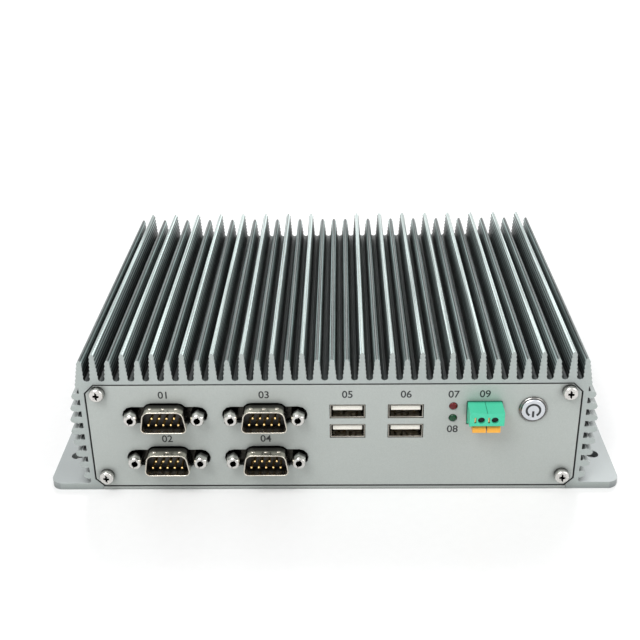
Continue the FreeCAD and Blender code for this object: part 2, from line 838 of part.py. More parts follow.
def make_rear_panel():
    front = REAR - s.panel_thickness
    rear = REAR
    plate = prism("rear_plate", panel_outline(0), front, rear)
    span = (front, rear)
    fixing = s.screw_shank_width + s.screw_pass_gap
    cutters = holes("rear_fixing", panel_screw_places(), fixing, *span, SHANK_SIDES)
    cutters += holes("audio_hole", [AUDIO_PLACE], s.audio_width + s.cutout_gap, *span)
    cutters += holes("antenna_hole", ANTENNA_PLACES, s.antenna_neck_width + s.screw_hole_gap, *span,
                     SHANK_SIDES)
    cutters += holes("ground_hole", [(s.ground_x, s.ground_z)], s.screw_shank_width + s.screw_hole_gap,
                     *span, SHANK_SIDES)
    for number, place in enumerate(NETWORK_PLACES):
        cutters.append(slab_cutter(f"network_window_{number}", place, s.network_width,
                                   s.network_height, *span))
    for row, z in enumerate(DATA_ROWS):
        cutters.append(slab_cutter(f"rear_data_window_{row}", (s.rear_data_x, z), s.data_port_width,
                                   s.data_port_height, *span))
    cutters.append(slab_cutter("screen_window", SCREEN_PLACE, s.screen_width, s.screen_height, *span))
    cutters.append(d_window("display_window", DISPLAY_PLACE, s.display_shell_width,
                            s.display_shell_height, *span))
    cutters.append(slab_cutter("supply_window", SUPPLY_PLACE, s.supply_width, s.supply_height, *span))
    return finish(cut("rear_panel", plate, *cutters))


def make_panel_screws():
    """Cylinder-head screws: each head on the panel, each shank in the housing behind it."""
    for label, plane, pointing, inward in (("front_panel_screws", FRONT, "front", "rear"),
                                           ("rear_panel_screws", REAR, "rear", "front")):
        screws = []
        for number, (x, z) in enumerate(panel_screw_places()):
            place = (x, plane, z)
            head = rod(f"{label}_head_{number}", place, pointing, s.screw_head_width,
                       s.screw_head_height, SMALL_SIDES)
            shank = rod(f"{label}_shank_{number}", place, inward, s.screw_shank_width,
                        s.screw_length + s.panel_thickness, SHANK_SIDES)
            screws.append(fuse(f"{label}_{number}", head, shank))
        finish(group(label, screws))


def make_base_cover():
    plate = box("cover_plate", (-COVER_SIDE, COVER_SIDE), (FRONT, REAR), (0, s.cover_thickness))
    cutters = []
    screws = []
    for number, (x, y) in enumerate(cover_screw_places()):
        cutters.append(taper(f"cover_sink_{number}", (x, y, 0), "up", s.screw_head_width + s.cover_sink_gap,
                             s.screw_shank_width + s.screw_pass_gap, s.cover_thickness))
        head = taper(f"cover_screw_head_{number}", (x, y, 0), "up", s.screw_head_width,
                     s.screw_shank_width, s.cover_thickness)
        shank = rod(f"cover_screw_shank_{number}", (x, y, s.cover_thickness), "up",
                    s.screw_shank_width, s.cover_screw_length, SHANK_SIDES)
        screws.append(fuse(f"cover_screw_{number}", head, shank))
    finish(cut("base_cover", plate, *cutters))
    finish(group("base_cover_screws", screws))


# --- Serial ports ------------------------------------------------------------------------

PANEL_BACK = FRONT + s.panel_thickness
FLANGE_BACK = PANEL_BACK + s.shell_flange_sheet
REAR_PANEL_BACK = REAR - s.panel_thickness
REAR_FLANGE_BACK = REAR_PANEL_BACK - s.shell_flange_sheet


def jackscrew_places(place):
    """Where the two jackscrews of a D-shaped connector are."""
    x, z = place
    return [(x - s.jackscrew_spacing / 2, z), (x + s.jackscrew_spacing / 2, z)]


def d_shell(name, place, width, height, mouth, flange_front, flange_back):
    """A drawn steel D-shell with its flange: mouth is the plane of its open end."""
    x, z = place
    near, far = in_order(mouth, flange_back)
    outer = prism(f"{name}_outer", d_corners(place, width, height), near, far)
    inner = prism(f"{name}_inner", d_corners(place, width, height, -s.shell_sheet), near, far)
    half_width = SHELL_FLANGE_WIDTH / 2
    half_height = s.shell_flange_height / 2
    low, high = in_order(flange_front, flange_back)
    flange = box(f"{name}_flange", (x - half_width, x + half_width), (low, high),
                 (z - half_height, z + half_height))
    fixing = holes(f"{name}_hole", jackscrew_places(place), s.jackscrew_shank + s.jackscrew_hole_gap,
                   low, high, SHANK_SIDES)
    return finish(cut(name, fuse(f"{name}_blank", outer, flange), inner, *fixing))


def jackscrew(name, place, pointing):
    """A hexagonal jackscrew: threaded bore in its face, shank through the flange behind it."""
    x, y, z = place
    inward, outward = ("rear", -1) if pointing == "front" else ("front", 1)
    length = s.panel_thickness + s.jackscrew_reach
    body = hexagon(f"{name}_hexagon", place, pointing, s.jackscrew_across, length)
    shank = rod(f"{name}_shank", place, inward, s.jackscrew_shank, s.jackscrew_shank_length, SHANK_SIDES)
    face = (x, y + length * outward, z)
    bore = rod(f"{name}_bore", face, inward, s.jackscrew_thread, s.jackscrew_bore_depth)
    return cut(name, fuse(f"{name}_blank", body, shank), bore)


def nut_pockets(name, place, plane, inward):
    """Hexagonal pockets behind a flange, one for the end of each jackscrew."""
    return [hexagon(f"{name}_{number}", (x, plane, z), inward, s.jackscrew_pocket_width,
                    s.jackscrew_pocket_depth) for number, (x, z) in enumerate(jackscrew_places(place))]


def make_serial_ports():
    mouth = FRONT - s.shell_reach
    floor = FRONT - s.serial_floor
    tips = mouth + s.serial_pin_recess
    back = FLANGE_BACK + s.serial_body_depth
    pins = []
    jackscrews = []
    for column in (0, 1):
        places = SERIAL_PLACES[column * 2:column * 2 + 2]
        x = places[0][0]
        half = SHELL_FLANGE_WIDTH / 2
        top = places[0][1] + s.shell_flange_height / 2
        plastics = [box(f"serial_block_{column}", (x - half, x + half), (FLANGE_BACK, back),
                        (SERIAL_TOP, top))]
        pockets = []
        for number, place in enumerate(places, start=column * 2 + 1):
            d_shell(f"serial_shell_{number}", place, s.serial_shell_width, s.serial_shell_height,
                    mouth, PANEL_BACK, FLANGE_BACK)
            inside = d_corners(place, s.serial_shell_width, s.serial_shell_height, -s.shell_sheet)
            plastics.append(prism(f"serial_face_{number}", inside, floor, FLANGE_BACK))
            pockets += nut_pockets(f"serial_pocket_{number}", place, FLANGE_BACK, "rear")
            for side, (screw_x, screw_z) in enumerate(jackscrew_places(place)):
                jackscrews.append(jackscrew(f"serial_jackscrew_{number}_{side}",
                                            (screw_x, PANEL_BACK, screw_z), "front"))
            for line, count in ((-1, 5), (1, 4)):
                for pin in range(count):
                    spot = (x + s.serial_pin_pitch * (pin - (count - 1) / 2), floor,
                            place[1] + s.serial_pin_row / 2 * line)
                    pins.append(rod(f"serial_pin_{number}_{line + 1}{pin}", spot, "front",
                                    s.serial_pin_width, floor - tips, PIN_SIDES))
        finish(cut(f"serial_body_{column + 1}", fuse(f"serial_plastic_{column}", *plastics), *pockets))
    finish(group("serial_pins", pins))
    finish(group("serial_jackscrews", jackscrews))


# --- Stacked data ports ------------------------------------------------------------------

def data_stack(label, x, mouth, outward):
    """A two-high data port: one steel shell, and plastic with a tongue in each opening."""
    back = mouth - s.data_port_depth * outward
    can_face = mouth - (s.panel_thickness - s.data_mouth_recess + s.data_can_gap) * outward
    sheet_gap = s.data_port_sheet
    wall = back + sheet_gap * outward
    root = wall + s.data_heel_depth * outward
    tip = mouth - s.data_tongue_recess * outward
    half = s.data_port_width / 2
    half_height = s.data_port_height / 2
    margin = s.data_body_margin
    inside = (x - half + sheet_gap, x + half - sheet_gap)
    can = box(f"{label}_can", (x - half - margin, x + half + margin), in_order(can_face, back),
              (BOARD_TOP, DATA_ROWS[1] + half_height + margin))
    necks = []
    cavities = []
    tongues = []
    for row, z in enumerate(DATA_ROWS):
        rise = (z - half_height + sheet_gap, z + half_height - sheet_gap)
        necks.append(box(f"{label}_neck_{row}", (x - half, x + half), in_order(mouth, can_face),
                         (z - half_height, z + half_height)))
        cavities.append(box(f"{label}_cavity_{row}", inside, in_order(mouth, wall), rise))
        tongue_top = rise[1] - s.data_tongue_roof
        tongue = box(f"{label}_tongue_{row}", (x - s.data_tongue_width / 2, x + s.data_tongue_width / 2),
                     in_order(root, tip), (tongue_top - s.data_tongue_height, tongue_top))
        heel = box(f"{label}_heel_{row}", inside, in_order(wall, root), rise)
        tongues.append(fuse(f"{label}_plastic_{row}", tongue, heel))
    finish(cut(f"{label}_shell", fuse(f"{label}_blank", can, *necks), *cavities))
    return tongues


def data_contacts(label, x, mouth, outward):
    """The gilt contact strips under each tongue of a data port."""
    tip = mouth - (s.data_tongue_recess + s.data_contact_setback) * outward
    tail = tip - s.data_contact_length * outward
    half = s.data_contact_width / 2
    strips = []
    for row, z in enumerate(DATA_ROWS):
        under = z + s.data_port_height / 2 - s.data_port_sheet - s.data_tongue_roof - s.data_tongue_height
        for strip in range(CONTACTS_PER_TONGUE):
            middle = x + s.data_contact_pitch * (strip - (CONTACTS_PER_TONGUE - 1) / 2)
            strips.append(box(f"{label}_contact_{row}{strip}", (middle - half, middle + half),
                              in_order(tip, tail), (under - s.data_contact_sheet, under)))
    return strips


def make_data_ports():
    front_mouth = FRONT + s.data_mouth_recess
    rear_mouth = REAR - s.data_mouth_recess
    strips = []
    for column, x in enumerate(FRONT_DATA_COLUMNS, start=1):
        label = f"front_data_{column}"
        finish(group(f"{label}_tongues", data_stack(label, x, front_mouth, -1)))
        strips += data_contacts(label, x, front_mouth, -1)
    lower, upper = data_stack("rear_data", s.rear_data_x, rear_mouth, 1)
    finish(lower, "rear_data_lower_tongue")
    finish(upper, "rear_data_upper_tongue")
    strips += data_contacts("rear_data", s.rear_data_x, rear_mouth, 1)
    finish(group("data_port_contacts", strips))


# --- Lights, switch plug and power button -------------------------------------------------

BUTTON_BOARD = FRONT + s.button_board_depth


def make_lights():
    for label, z in zip(("storage_light", "power_light"), LIGHT_HEIGHTS):
        stem = rod(f"{label}_stem", (s.light_x, BUTTON_BOARD, z), "front", s.light_width,
                   s.button_board_depth, SMALL_SIDES)
        dome = taper(f"{label}_dome", (s.light_x, FRONT, z), "front", s.light_width,
                     s.light_tip_width, s.light_reach)
        finish(fuse(label, stem, dome))


def make_switch_plug():
    left = s.plug_x - s.plug_width / 2
    right = s.plug_x + s.plug_width / 2
    plug_back = FRONT + s.plug_depth
    face = FRONT - s.plug_reach
    lower_face = FRONT + s.plug_recess
    gap = s.release_gap
    upper = box("plug_upper", (left, right), (face, plug_back), (s.plug_split_z, s.plug_top_z))
    lower = box("plug_lower", (left, right), (lower_face, plug_back), (s.plug_foot_z, s.plug_split_z))
    rail = box("plug_rail", (left, left + s.plug_rail_width), (face + s.plug_rail_height, lower_face),
               (s.plug_split_z - s.plug_rail_height, s.plug_split_z))
    first = left + s.release_margin
    pitch = s.release_width + s.release_spacing
    levers = [(first + pitch * lever, first + pitch * lever + s.release_width) for lever in (0, 1)]
    lever_back = FRONT + s.release_root
    chamber_foot = s.plug_foot_z + s.plug_foot_wall
    cutters = [box("release_chamber", (levers[0][0] - gap, levers[1][1] + gap),
                   (lower_face, lever_back + s.release_travel + gap), (chamber_foot, s.plug_split_z)),
               box("plug_parting", (s.plug_x - s.plug_parting_width / 2, s.plug_x + s.plug_parting_width / 2),
                   (face, FRONT - s.plug_recess), (s.plug_top_z - s.plug_parting_depth, s.plug_top_z))]
    for number, (start, end) in enumerate(levers):
        wire_x = s.plug_x + s.plug_wire_pitch * (number - 0.5) + s.plug_wire_shift
        slot_x = wire_x - s.plug_slot_offset
        slot_half = s.plug_slot_width / 2
        slot_z = (s.plug_wire_z - s.plug_slot_height / 2, s.plug_wire_z + s.plug_slot_height / 2)
        cutters.append(rod(f"wire_hole_{number}", (wire_x, face, s.plug_wire_z), "rear",
                           s.plug_wire_width, s.plug_wire_depth))
        cutters.append(box(f"probe_slot_{number}", (slot_x - slot_half, slot_x + slot_half),
                           (face, face + s.plug_slot_depth), slot_z))
        tip = FRONT - s.release_reach
        foot = chamber_foot + gap
        top = s.plug_split_z - gap
        blank = box(f"release_blank_{number}", (start, end), (tip, lever_back), (foot, top))
        slope = prism_across(f"release_slope_{number}", (start, end),
                             [(tip, top - s.release_slope), (tip + s.release_slope_depth, top), (tip, top)])
        finish(cut(f"switch_release_{number + 1}", blank, slope))
    finish(cut("switch_plug", fuse("plug_blank", upper, lower, rail), *cutters))
    finish(box("switch_header", (left, right), (plug_back, BUTTON_BOARD), (s.plug_foot_z, s.plug_top_z)))


def make_power_button():
    place = (s.button_x, BUTTON_BOARD, s.button_z)
    ring = s.button_ring_width / 2
    barrel = ring - s.button_lip
    cap = s.button_cap_width / 2
    bore = cap + s.button_gap
    depth = s.button_board_depth
    front = depth + s.button_ring_reach
    finish(turned("power_button_ring", [(bore, 0), (barrel, 0), (barrel, depth), (ring, depth),
                                        (ring, front), (bore, front)], place, "front"))
    face = depth + s.button_reach
    heel = s.switch_height + s.switch_plunger_height + s.button_travel + s.switch_play
    finish(turned("power_button_cap", [(0, heel), (cap, heel), (cap, face), (0, face)], place, "front"))
    half = s.switch_size / 2
    switch_face = BUTTON_BOARD - s.switch_height
    base = box("power_switch_base", (s.button_x - half, s.button_x + half), (switch_face, BUTTON_BOARD),
               (s.button_z - half, s.button_z + half))
    plunger = rod("power_switch_plunger", (s.button_x, switch_face, s.button_z), "front",
                  s.switch_plunger_width, s.switch_plunger_height, SHANK_SIDES)
    finish(fuse("power_switch", base, plunger))
    left = s.light_x - half - s.button_board_margin
    right = s.button_x + ring + s.button_board_margin
    finish(box("button_board", (left, right), (BUTTON_BOARD, BUTTON_BOARD + s.board_thickness),
               (BOARD_FOOT, s.button_z + ring)))


# --- Rear sockets ---------------------------------------------------------------------------

def make_audio_jack():
    x, z = AUDIO_PLACE
    face = REAR + s.audio_reach
    back = face - s.audio_depth
    body_face = face - s.audio_body_setback
    half = s.audio_body_width / 2
    block = box("audio_block", (x - half, x + half), (back - s.audio_floor, body_face), (z - half, z + half))
    collar = rod("audio_collar", (x, body_face, z), "rear", s.audio_width, s.audio_body_setback)
    chamber = rod("audio_chamber", (x, back, z), "rear", s.audio_sleeve_width, s.audio_depth, SMALL_SIDES)
    finish(cut("audio_jack_body", fuse("audio_blank", block, collar), chamber))
    length = s.audio_depth - s.audio_lip
    tube = rod("audio_tube", (x, back, z), "rear", s.audio_sleeve_width, length, SMALL_SIDES)
    finish(cut("audio_jack_sleeve", tube, rod("audio_tube_bore", (x, back, z), "rear", s.audio_bore, length)))


def make_antenna_plugs():
    plugs = []
    for number, (x, z) in enumerate(ANTENNA_PLACES):
        neck = rod(f"antenna_neck_{number}", (x, REAR, z), "front", s.antenna_neck_width,
                   s.antenna_neck_length, SHANK_SIDES)
        rim = rod(f"antenna_rim_{number}", (x, REAR, z), "rear", s.antenna_cap_width, s.antenna_rim,
                  SMALL_SIDES)
        crown = taper(f"antenna_crown_{number}", (x, REAR + s.antenna_rim, z), "rear", s.antenna_cap_width,
                      s.antenna_crown_width, s.antenna_reach - s.antenna_rim)
        plugs.append(fuse(f"antenna_plug_{number}", neck, rim, crown))
    finish(group("antenna_hole_plugs", plugs))


def make_network_sockets():
    face = REAR + s.network_reach
    back = face - s.network_depth
    sheet_gap = s.network_sheet
    half = s.network_width / 2 - sheet_gap
    mouth = (face - s.network_mouth_depth, face)
    lamp = (face - s.network_light_depth, face)
    lights = []
    contacts = []
    for number, (x, z) in enumerate(NETWORK_PLACES, start=1):
        foot = z - s.network_height / 2
        top = z + s.network_height / 2
        inside = ((x - half, x + half), (foot + sheet_gap, top - sheet_gap))
        can = box(f"network_can_{number}", (x - s.network_width / 2, x + s.network_width / 2),
                  (back, face), (foot, top))
        core = box(f"network_core_{number}", inside[0], (back + sheet_gap, face - sheet_gap), inside[1])
        mouth_top = top - s.network_mouth_rise - sheet_gap
        mouth_foot = mouth_top - s.network_mouth_height
        wide = s.network_mouth_width / 2
        narrow = s.network_latch_width / 2
        openings = [box(f"network_mouth_{number}", (x - wide, x + wide), mouth, (mouth_foot, mouth_top)),
                    box(f"network_latch_{number}", (x - narrow, x + narrow), mouth,
                        (mouth_foot - s.network_latch_height, mouth_foot))]
        lamp_foot = foot + s.network_light_rise
        lamp_z = (lamp_foot, lamp_foot + s.network_light_height)
        for side in (-1, 1):
            outer = x + (half - s.network_light_inset) * side
            lamp_x = in_order(outer, outer - s.network_light_width * side)
            openings.append(box(f"network_light_window_{number}_{side + 1}", lamp_x, lamp, lamp_z))
            lights.append(box(f"network_light_{number}_{side + 1}", lamp_x, lamp, lamp_z))
        finish(cut(f"network_shell_{number}", can, core, *openings))
        plastic = box(f"network_block_{number}", inside[0], (back + sheet_gap, face - sheet_gap), inside[1])
        finish(cut(f"network_body_{number}", plastic, *openings))
        for wire in range(NETWORK_CONTACTS):
            middle = x + s.network_contact_pitch * (wire - (NETWORK_CONTACTS - 1) / 2)
            contacts.append(box(f"network_contact_{number}{wire}",
                                (middle - s.network_contact_width / 2, middle + s.network_contact_width / 2),
                                (mouth[0] + s.network_contact_end, face - s.network_contact_start),
                                (mouth_top - s.network_contact_sheet, mouth_top)))
    finish(group("network_lights", lights))
    finish(group("network_contacts", contacts))


def screen_corners(margin):
    """The outline of the upright screen socket: its two outer corners are cut off."""
    x, z = SCREEN_PLACE
    half_width = s.screen_width / 2 - margin
    half_height = s.screen_height / 2 - margin
    bevel = s.screen_bevel - margin * (2 - math.sqrt(2))
    return [(x + half_width, z - half_height), (x + half_width, z + half_height),
            (x - half_width + bevel, z + half_height), (x - half_width, z + half_height - bevel),
            (x - half_width, z - half_height + bevel), (x - half_width + bevel, z - half_height)]


def make_screen_socket():
    x, z = SCREEN_PLACE
    face = REAR + s.screen_reach
    back = face - s.screen_depth
    outer = prism("screen_outer", screen_corners(0), back, face)
    inner = prism("screen_inner", screen_corners(s.screen_sheet), back, face)
    finish(cut("screen_socket_shell", outer, inner))
    heel = prism("screen_heel", screen_corners(s.screen_sheet), back, back + s.screen_heel)
    middle = x + s.screen_tongue_shift
    reach = s.screen_height / 2 - s.screen_tongue_inset
    blade = box("screen_blade", (middle - s.screen_tongue / 2, middle + s.screen_tongue / 2),
                (back + s.screen_heel, face - s.screen_tongue_recess), (z - reach, z + reach))
    finish(fuse("screen_socket_tongue", heel, blade))


def make_display_port():
    x, z = DISPLAY_PLACE
    mouth = REAR + s.display_reach
    face = mouth - s.display_face_recess
    half = SHELL_FLANGE_WIDTH / 2
    d_shell("display_shell", DISPLAY_PLACE, s.display_shell_width, s.display_shell_height, mouth,
            REAR_PANEL_BACK, REAR_FLANGE_BACK)
    inside = d_corners(DISPLAY_PLACE, s.display_shell_width, s.display_shell_height, -s.shell_sheet)
    insert = prism("display_face", inside, REAR_FLANGE_BACK, face)
    back = REAR_FLANGE_BACK - s.display_body_depth
    block = box("display_block", (x - half, x + half), (back, REAR_FLANGE_BACK),
                (BOARD_TOP, z + s.shell_flange_height / 2))
    cutters = nut_pockets("display_pocket", DISPLAY_PLACE, REAR_FLANGE_BACK, "front")
    for row in (-1, 0, 1):
        for hole in range(-2, 3):
            spot = (x + s.display_hole_pitch * (hole + row / 4), face, z + s.display_row_pitch * row)
            cutters.append(rod(f"display_hole_{row + 1}{hole + 2}", spot, "front", s.display_hole_width,
                               s.display_hole_depth, PIN_SIDES))
    finish(cut("display_body", fuse("display_plastic", insert, block), *cutters))
    finish(group("display_jackscrews",
                 [jackscrew(f"display_jackscrew_{side}", (screw_x, REAR_PANEL_BACK, screw_z), "rear")
                  for side, (screw_x, screw_z) in enumerate(jackscrew_places(DISPLAY_PLACE))]))


def make_supply_terminal():
    x, z = SUPPLY_PLACE
    face = REAR + s.supply_reach
    back = REAR_PANEL_BACK - s.supply_depth
    half = s.supply_width / 2
    top = z + s.supply_height / 2
    depth = s.supply_cavity_depth
    floor = face - depth
    pole = s.supply_pole_pitch
    pole_z = s.supply_chamber_foot + pole / 2
    block = box("supply_block", (x - half, x + half), (back, face), (z - s.supply_height / 2, top))
    foot = box("supply_foot", (x - half, x + half), (back, REAR_PANEL_BACK - s.supply_foot_gap),
               (BOARD_TOP, top))
    cutters = [box("supply_chamber", (x - pole, x + pole), (floor, face), (pole_z, s.supply_chamber_top)),
               box("supply_slot", (x - pole, x + pole), (floor, face),
                   (s.supply_chamber_top + s.supply_bar, s.supply_slot_top))]
    pins = []
    inserts = []
    for side in (-1, 1):
        name = f"supply_{side + 1}"
        pole_x = x + pole / 2 * side
        seat = (x + s.supply_insert_spacing / 2 * side, face, s.supply_pin_z)
        hole = (x + s.supply_hole_spacing / 2 * side, face, s.supply_hole_z)
        cutters += [rod(f"{name}_round", (pole_x, face, pole_z), "front", pole, depth, SMALL_SIDES),
                    rod(f"{name}_hole", hole, "front", s.supply_hole_width, depth, SMALL_SIDES),
                    rod(f"{name}_seat", seat, "front", s.supply_insert_width, depth, SMALL_SIDES)]
        tube = rod(f"{name}_tube", seat, "front", s.supply_insert_width, depth, SMALL_SIDES)
        thread = rod(f"{name}_thread", seat, "front", s.supply_insert_thread, depth)
        inserts.append(cut(f"{name}_insert", tube, thread))
        pins.append(rod(f"{name}_pin", (pole_x, floor, s.supply_pin_z), "rear", s.supply_pin_width,
                        depth - s.supply_pin_setback, PIN_SIDES))
    finish(cut("supply_terminal", fuse("supply_blank", block, foot), *cutters))
    finish(group("supply_inserts", inserts))
    finish(group("supply_pins", pins))


def make_ground_screw():
    x, z = s.ground_x, s.ground_z
    sheet_gap = s.ground_washer_sheet
    seat = (x, REAR + sheet_gap, z)
    washer = rod("ground_washer_blank", (x, REAR, z), "rear", s.ground_washer_width, sheet_gap, SMALL_SIDES)
    eye = rod("ground_washer_eye", (x, REAR, z), "rear", s.screw_shank_width + s.screw_pass_gap, sheet_gap,
              SHANK_SIDES)
    finish(cut("ground_washer", washer, eye))
    head = rod("ground_head", seat, "rear", s.screw_head_width, s.ground_head_height, SMALL_SIDES)
    shank = rod("ground_shank", seat, "front", s.screw_shank_width, s.screw_length, SHANK_SIDES)
    finish(fuse("ground_screw", head, shank))


# --- Boards and what they carry ---------------------------------------------------------------

def make_boards():
    side = BAY_SIDE - s.board_side_gap
    board = (BOARD_FOOT, BOARD_TOP)
    rear_edge = REAR_PANEL_BACK - s.board_end_gap
    serial_left = s.serial_first_x - SHELL_FLANGE_WIDTH / 2
    serial_right = s.serial_first_x + s.serial_column_pitch + SHELL_FLANGE_WIDTH / 2
    serial_back = FLANGE_BACK + s.serial_body_depth
    gap = s.board_notch_gap
    plate = box("main_board_plate", (-side, side), (PANEL_BACK + s.board_front_gap, rear_edge), board)
    serial_notch = box("serial_notch", (-side, serial_right + gap), (PANEL_BACK, serial_back + gap), board)
    button_notch = box("button_notch", (s.light_x - s.switch_size / 2 - gap * 2, side),
                       (PANEL_BACK, BUTTON_BOARD + s.board_thickness), board)
    finish(cut("main_board", plate, serial_notch, button_notch))
    post_x = side - s.standoff_inset
    front_y = s.standoff_end - rear_edge
    rear_y = rear_edge - s.standoff_rear_end
    places = [(-post_x, front_y), (0, front_y), (post_x, front_y), (-post_x, rear_y),
              (0, rear_edge - s.standoff_middle_end), (post_x, rear_y)]
    posts = [hexagon(f"standoff_{number}", (x, y, BOARD_TOP), "up", s.standoff_across, CEILING - BOARD_TOP)
             for number, (x, y) in enumerate(places)]
    finish(group("board_standoffs", posts))
    half = s.processor_size / 2
    lid = BOARD_TOP + s.processor_height
    finish(box("processor", (-half, half), (-half, half), (BOARD_TOP, lid)))
    half = s.thermal_block_size / 2
    finish(box("thermal_block", (-half, half), (-half, half), (lid, CEILING)))
    finish(box("serial_board", (serial_left, serial_right),
               (PANEL_BACK + s.serial_board_front_gap, serial_back + s.serial_board_overhang),
               (SERIAL_TOP - s.board_thickness, SERIAL_TOP)))


def make_memory():
    right = s.drive_x - s.drive_width / 2 - s.memory_drive_gap
    left = right - s.memory_length
    level = BOARD_FOOT - s.memory_drop
    module_z = (level, level + s.memory_sheet)
    wall = s.memory_socket_wall
    mouth = s.memory_width - s.memory_socket_depth
    finish(box("memory_module", (left, right), (0, s.memory_width), module_z))
    socket = box("memory_socket_block", (left - wall, right + wall),
                 (mouth, s.memory_width + s.memory_socket_back), (level - wall, BOARD_FOOT))
    finish(cut("memory_socket", socket, box("memory_slot", (left, right), (mouth, s.memory_width), module_z)))


def make_drive():
    half = s.drive_width / 2
    length = s.drive_length / 2
    finish(box("storage_drive", (s.drive_x - half, s.drive_x + half), (-length, length),
               (s.cover_thickness, s.cover_thickness + s.drive_height)))


def check(objects):
    """Stop if any object failed to rebuild, or if a sub-part isn't whole."""
    for thing in objects:
        if "Invalid" in thing.State or "Error" in thing.State:
            raise RuntimeError(f"{thing.Name} failed: {thing.State}")
    for piece in subparts:
        if piece.Shape.isNull() or not piece.Shape.isValid() or not piece.Shape.Solids:
            raise RuntimeError(f"{piece.Label} has no valid solid")


def build():
    make_housing()
    make_base_cover()
    make_front_panel()
    make_rear_panel()
    make_panel_screws()
    make_serial_ports()
    make_data_ports()
    make_lights()
    make_switch_plug()
    make_power_button()
    make_audio_jack()
    make_antenna_plugs()
    make_network_sockets()
    make_screen_socket()
    make_display_port()
    make_supply_terminal()
    make_ground_screw()
    make_boards()
    make_memory()
    make_drive()
    doc.recompute()
    check(doc.Objects)
    os.makedirs("parts", exist_ok=True)
    for piece in subparts:
        piece.Shape.exportStep(f"parts/{piece.Label}.step")


build()
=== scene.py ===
import json
import math

import bmesh
import bpy
from bmesh.types import BMEdge, BMFace, BMVert
from mathutils import Matrix, Vector


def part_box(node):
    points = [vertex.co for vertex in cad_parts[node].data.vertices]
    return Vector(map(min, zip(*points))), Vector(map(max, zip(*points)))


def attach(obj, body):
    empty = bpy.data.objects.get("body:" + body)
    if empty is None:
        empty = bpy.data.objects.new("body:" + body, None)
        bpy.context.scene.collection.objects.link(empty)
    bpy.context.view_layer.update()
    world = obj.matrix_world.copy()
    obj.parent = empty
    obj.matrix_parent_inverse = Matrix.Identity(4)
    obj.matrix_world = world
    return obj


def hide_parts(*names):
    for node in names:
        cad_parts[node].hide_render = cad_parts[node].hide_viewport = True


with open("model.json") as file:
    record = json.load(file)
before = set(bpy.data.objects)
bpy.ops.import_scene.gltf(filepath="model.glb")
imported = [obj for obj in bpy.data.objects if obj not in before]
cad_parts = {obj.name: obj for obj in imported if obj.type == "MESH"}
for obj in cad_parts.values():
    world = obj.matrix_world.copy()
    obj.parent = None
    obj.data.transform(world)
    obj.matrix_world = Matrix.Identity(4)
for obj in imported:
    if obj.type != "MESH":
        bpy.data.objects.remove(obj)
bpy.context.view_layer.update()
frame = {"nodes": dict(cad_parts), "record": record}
MM = 0.001

bl_info = {
    "name": "Fanless Computer Dressing",
    "version": (1, 0, 0),
    "blender": (4, 5, 0),
    "location": "3D View > Sidebar > Computer",
    "description": "Finishes, printed numbers and fine parts of a fanless industrial computer",
    "category": "Object",
}

# Planes of the extrusion and its panels. The computer faces -Y and stands on Z = 0.
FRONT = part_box("front_panel")[0].y
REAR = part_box("rear_panel")[1].y
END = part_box("heatsink_housing")[1].y
FIN_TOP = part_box("heatsink_housing")[1].z
PANEL_MIDDLE = (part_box("front_panel")[0].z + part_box("front_panel")[1].z) / 2


# --- Settings ---

def colour_setting(name, description, default):
    """A colour property, laid out as every finish here is."""
    return bpy.props.FloatVectorProperty(name=name, description=description, default=default,
                                         subtype="COLOR", size=3, min=0.0, max=1.0)


def length_setting(name, description, millimetres):
    """A length property, given in millimetres and kept in metres."""
    return bpy.props.FloatProperty(name=name, description=description, default=millimetres * MM,
                                   unit="LENGTH", min=0.0, precision=5)


def angle_setting(name, description, degrees):
    """An angle property, given in degrees and kept in radians."""
    return bpy.props.FloatProperty(name=name, description=description, default=math.radians(degrees),
                                   subtype="ANGLE")


def number_setting(name, description, default):
    """A plain number that is never negative."""
    return bpy.props.FloatProperty(name=name, description=description, default=default, min=0.0)


class ComputerFinish(bpy.types.PropertyGroup):
    """Colours of the computer's surfaces."""

    housing: colour_setting("Housing", "Anodised extrusion", (0.37, 0.40, 0.395))
    panel: colour_setting("Panels", "Fine blasted end panels", (0.415, 0.445, 0.425))
    print_ink: colour_setting("Print", "Printed numbers and symbols", (0.018, 0.02, 0.022))
    plated: colour_setting("Plated steel", "Screws and jackscrews", (0.60, 0.59, 0.565))
    shell: colour_setting("Shells", "Plated connector shells", (0.56, 0.53, 0.465))
    gilt: colour_setting("Gilt", "Contacts and inserts", (0.86, 0.62, 0.27))
    black: colour_setting("Black plastic", "Connector bodies", (0.012, 0.012, 0.013))
    white: colour_setting("White plastic", "Tongues of the data ports", (0.84, 0.82, 0.74))
    blue: colour_setting("Blue plastic", "Display port and fast data port", (0.008, 0.065, 0.70))
    switch_green: colour_setting("Switch plug", "Green of the spring plug", (0.055, 0.56, 0.34))
    supply_green: colour_setting("Supply terminal", "Green of the supply terminal", (0.025, 0.60, 0.19))
    orange: colour_setting("Release levers", "Orange of the levers", (0.90, 0.42, 0.045))


class ComputerSizes(bpy.types.PropertyGroup):
    """Sizes of the fine parts."""

    edge: length_setting("Eased edge", "Rounding of machined and moulded edges", 0.12)
    number_height: length_setting("Number height", "Height of the printed numbers", 2.9)
    ink: length_setting("Ink thickness", "How far the ink stands off the panel", 0.02)
    symbol_line: length_setting("Symbol line", "Line width of the printed symbols", 0.42)
    screw_head: length_setting("Screw head", "Diameter of the panel screws' heads", 5.5)
    cross: length_setting("Cross recess", "Width of the recess in a screw head", 2.3)
    pin: length_setting("Pin", "Diameter of the serial ports' pins", 1.0)
    shell_sheet: length_setting("Shell sheet", "Thickness of the connector shells", 0.5)
    shell_corner: length_setting("Shell corner", "Corner radius of the D-shaped shells", 2.4)
    shell_slant: length_setting("Shell slant", "How much narrower a D-shape's upper corner is", 1.5)


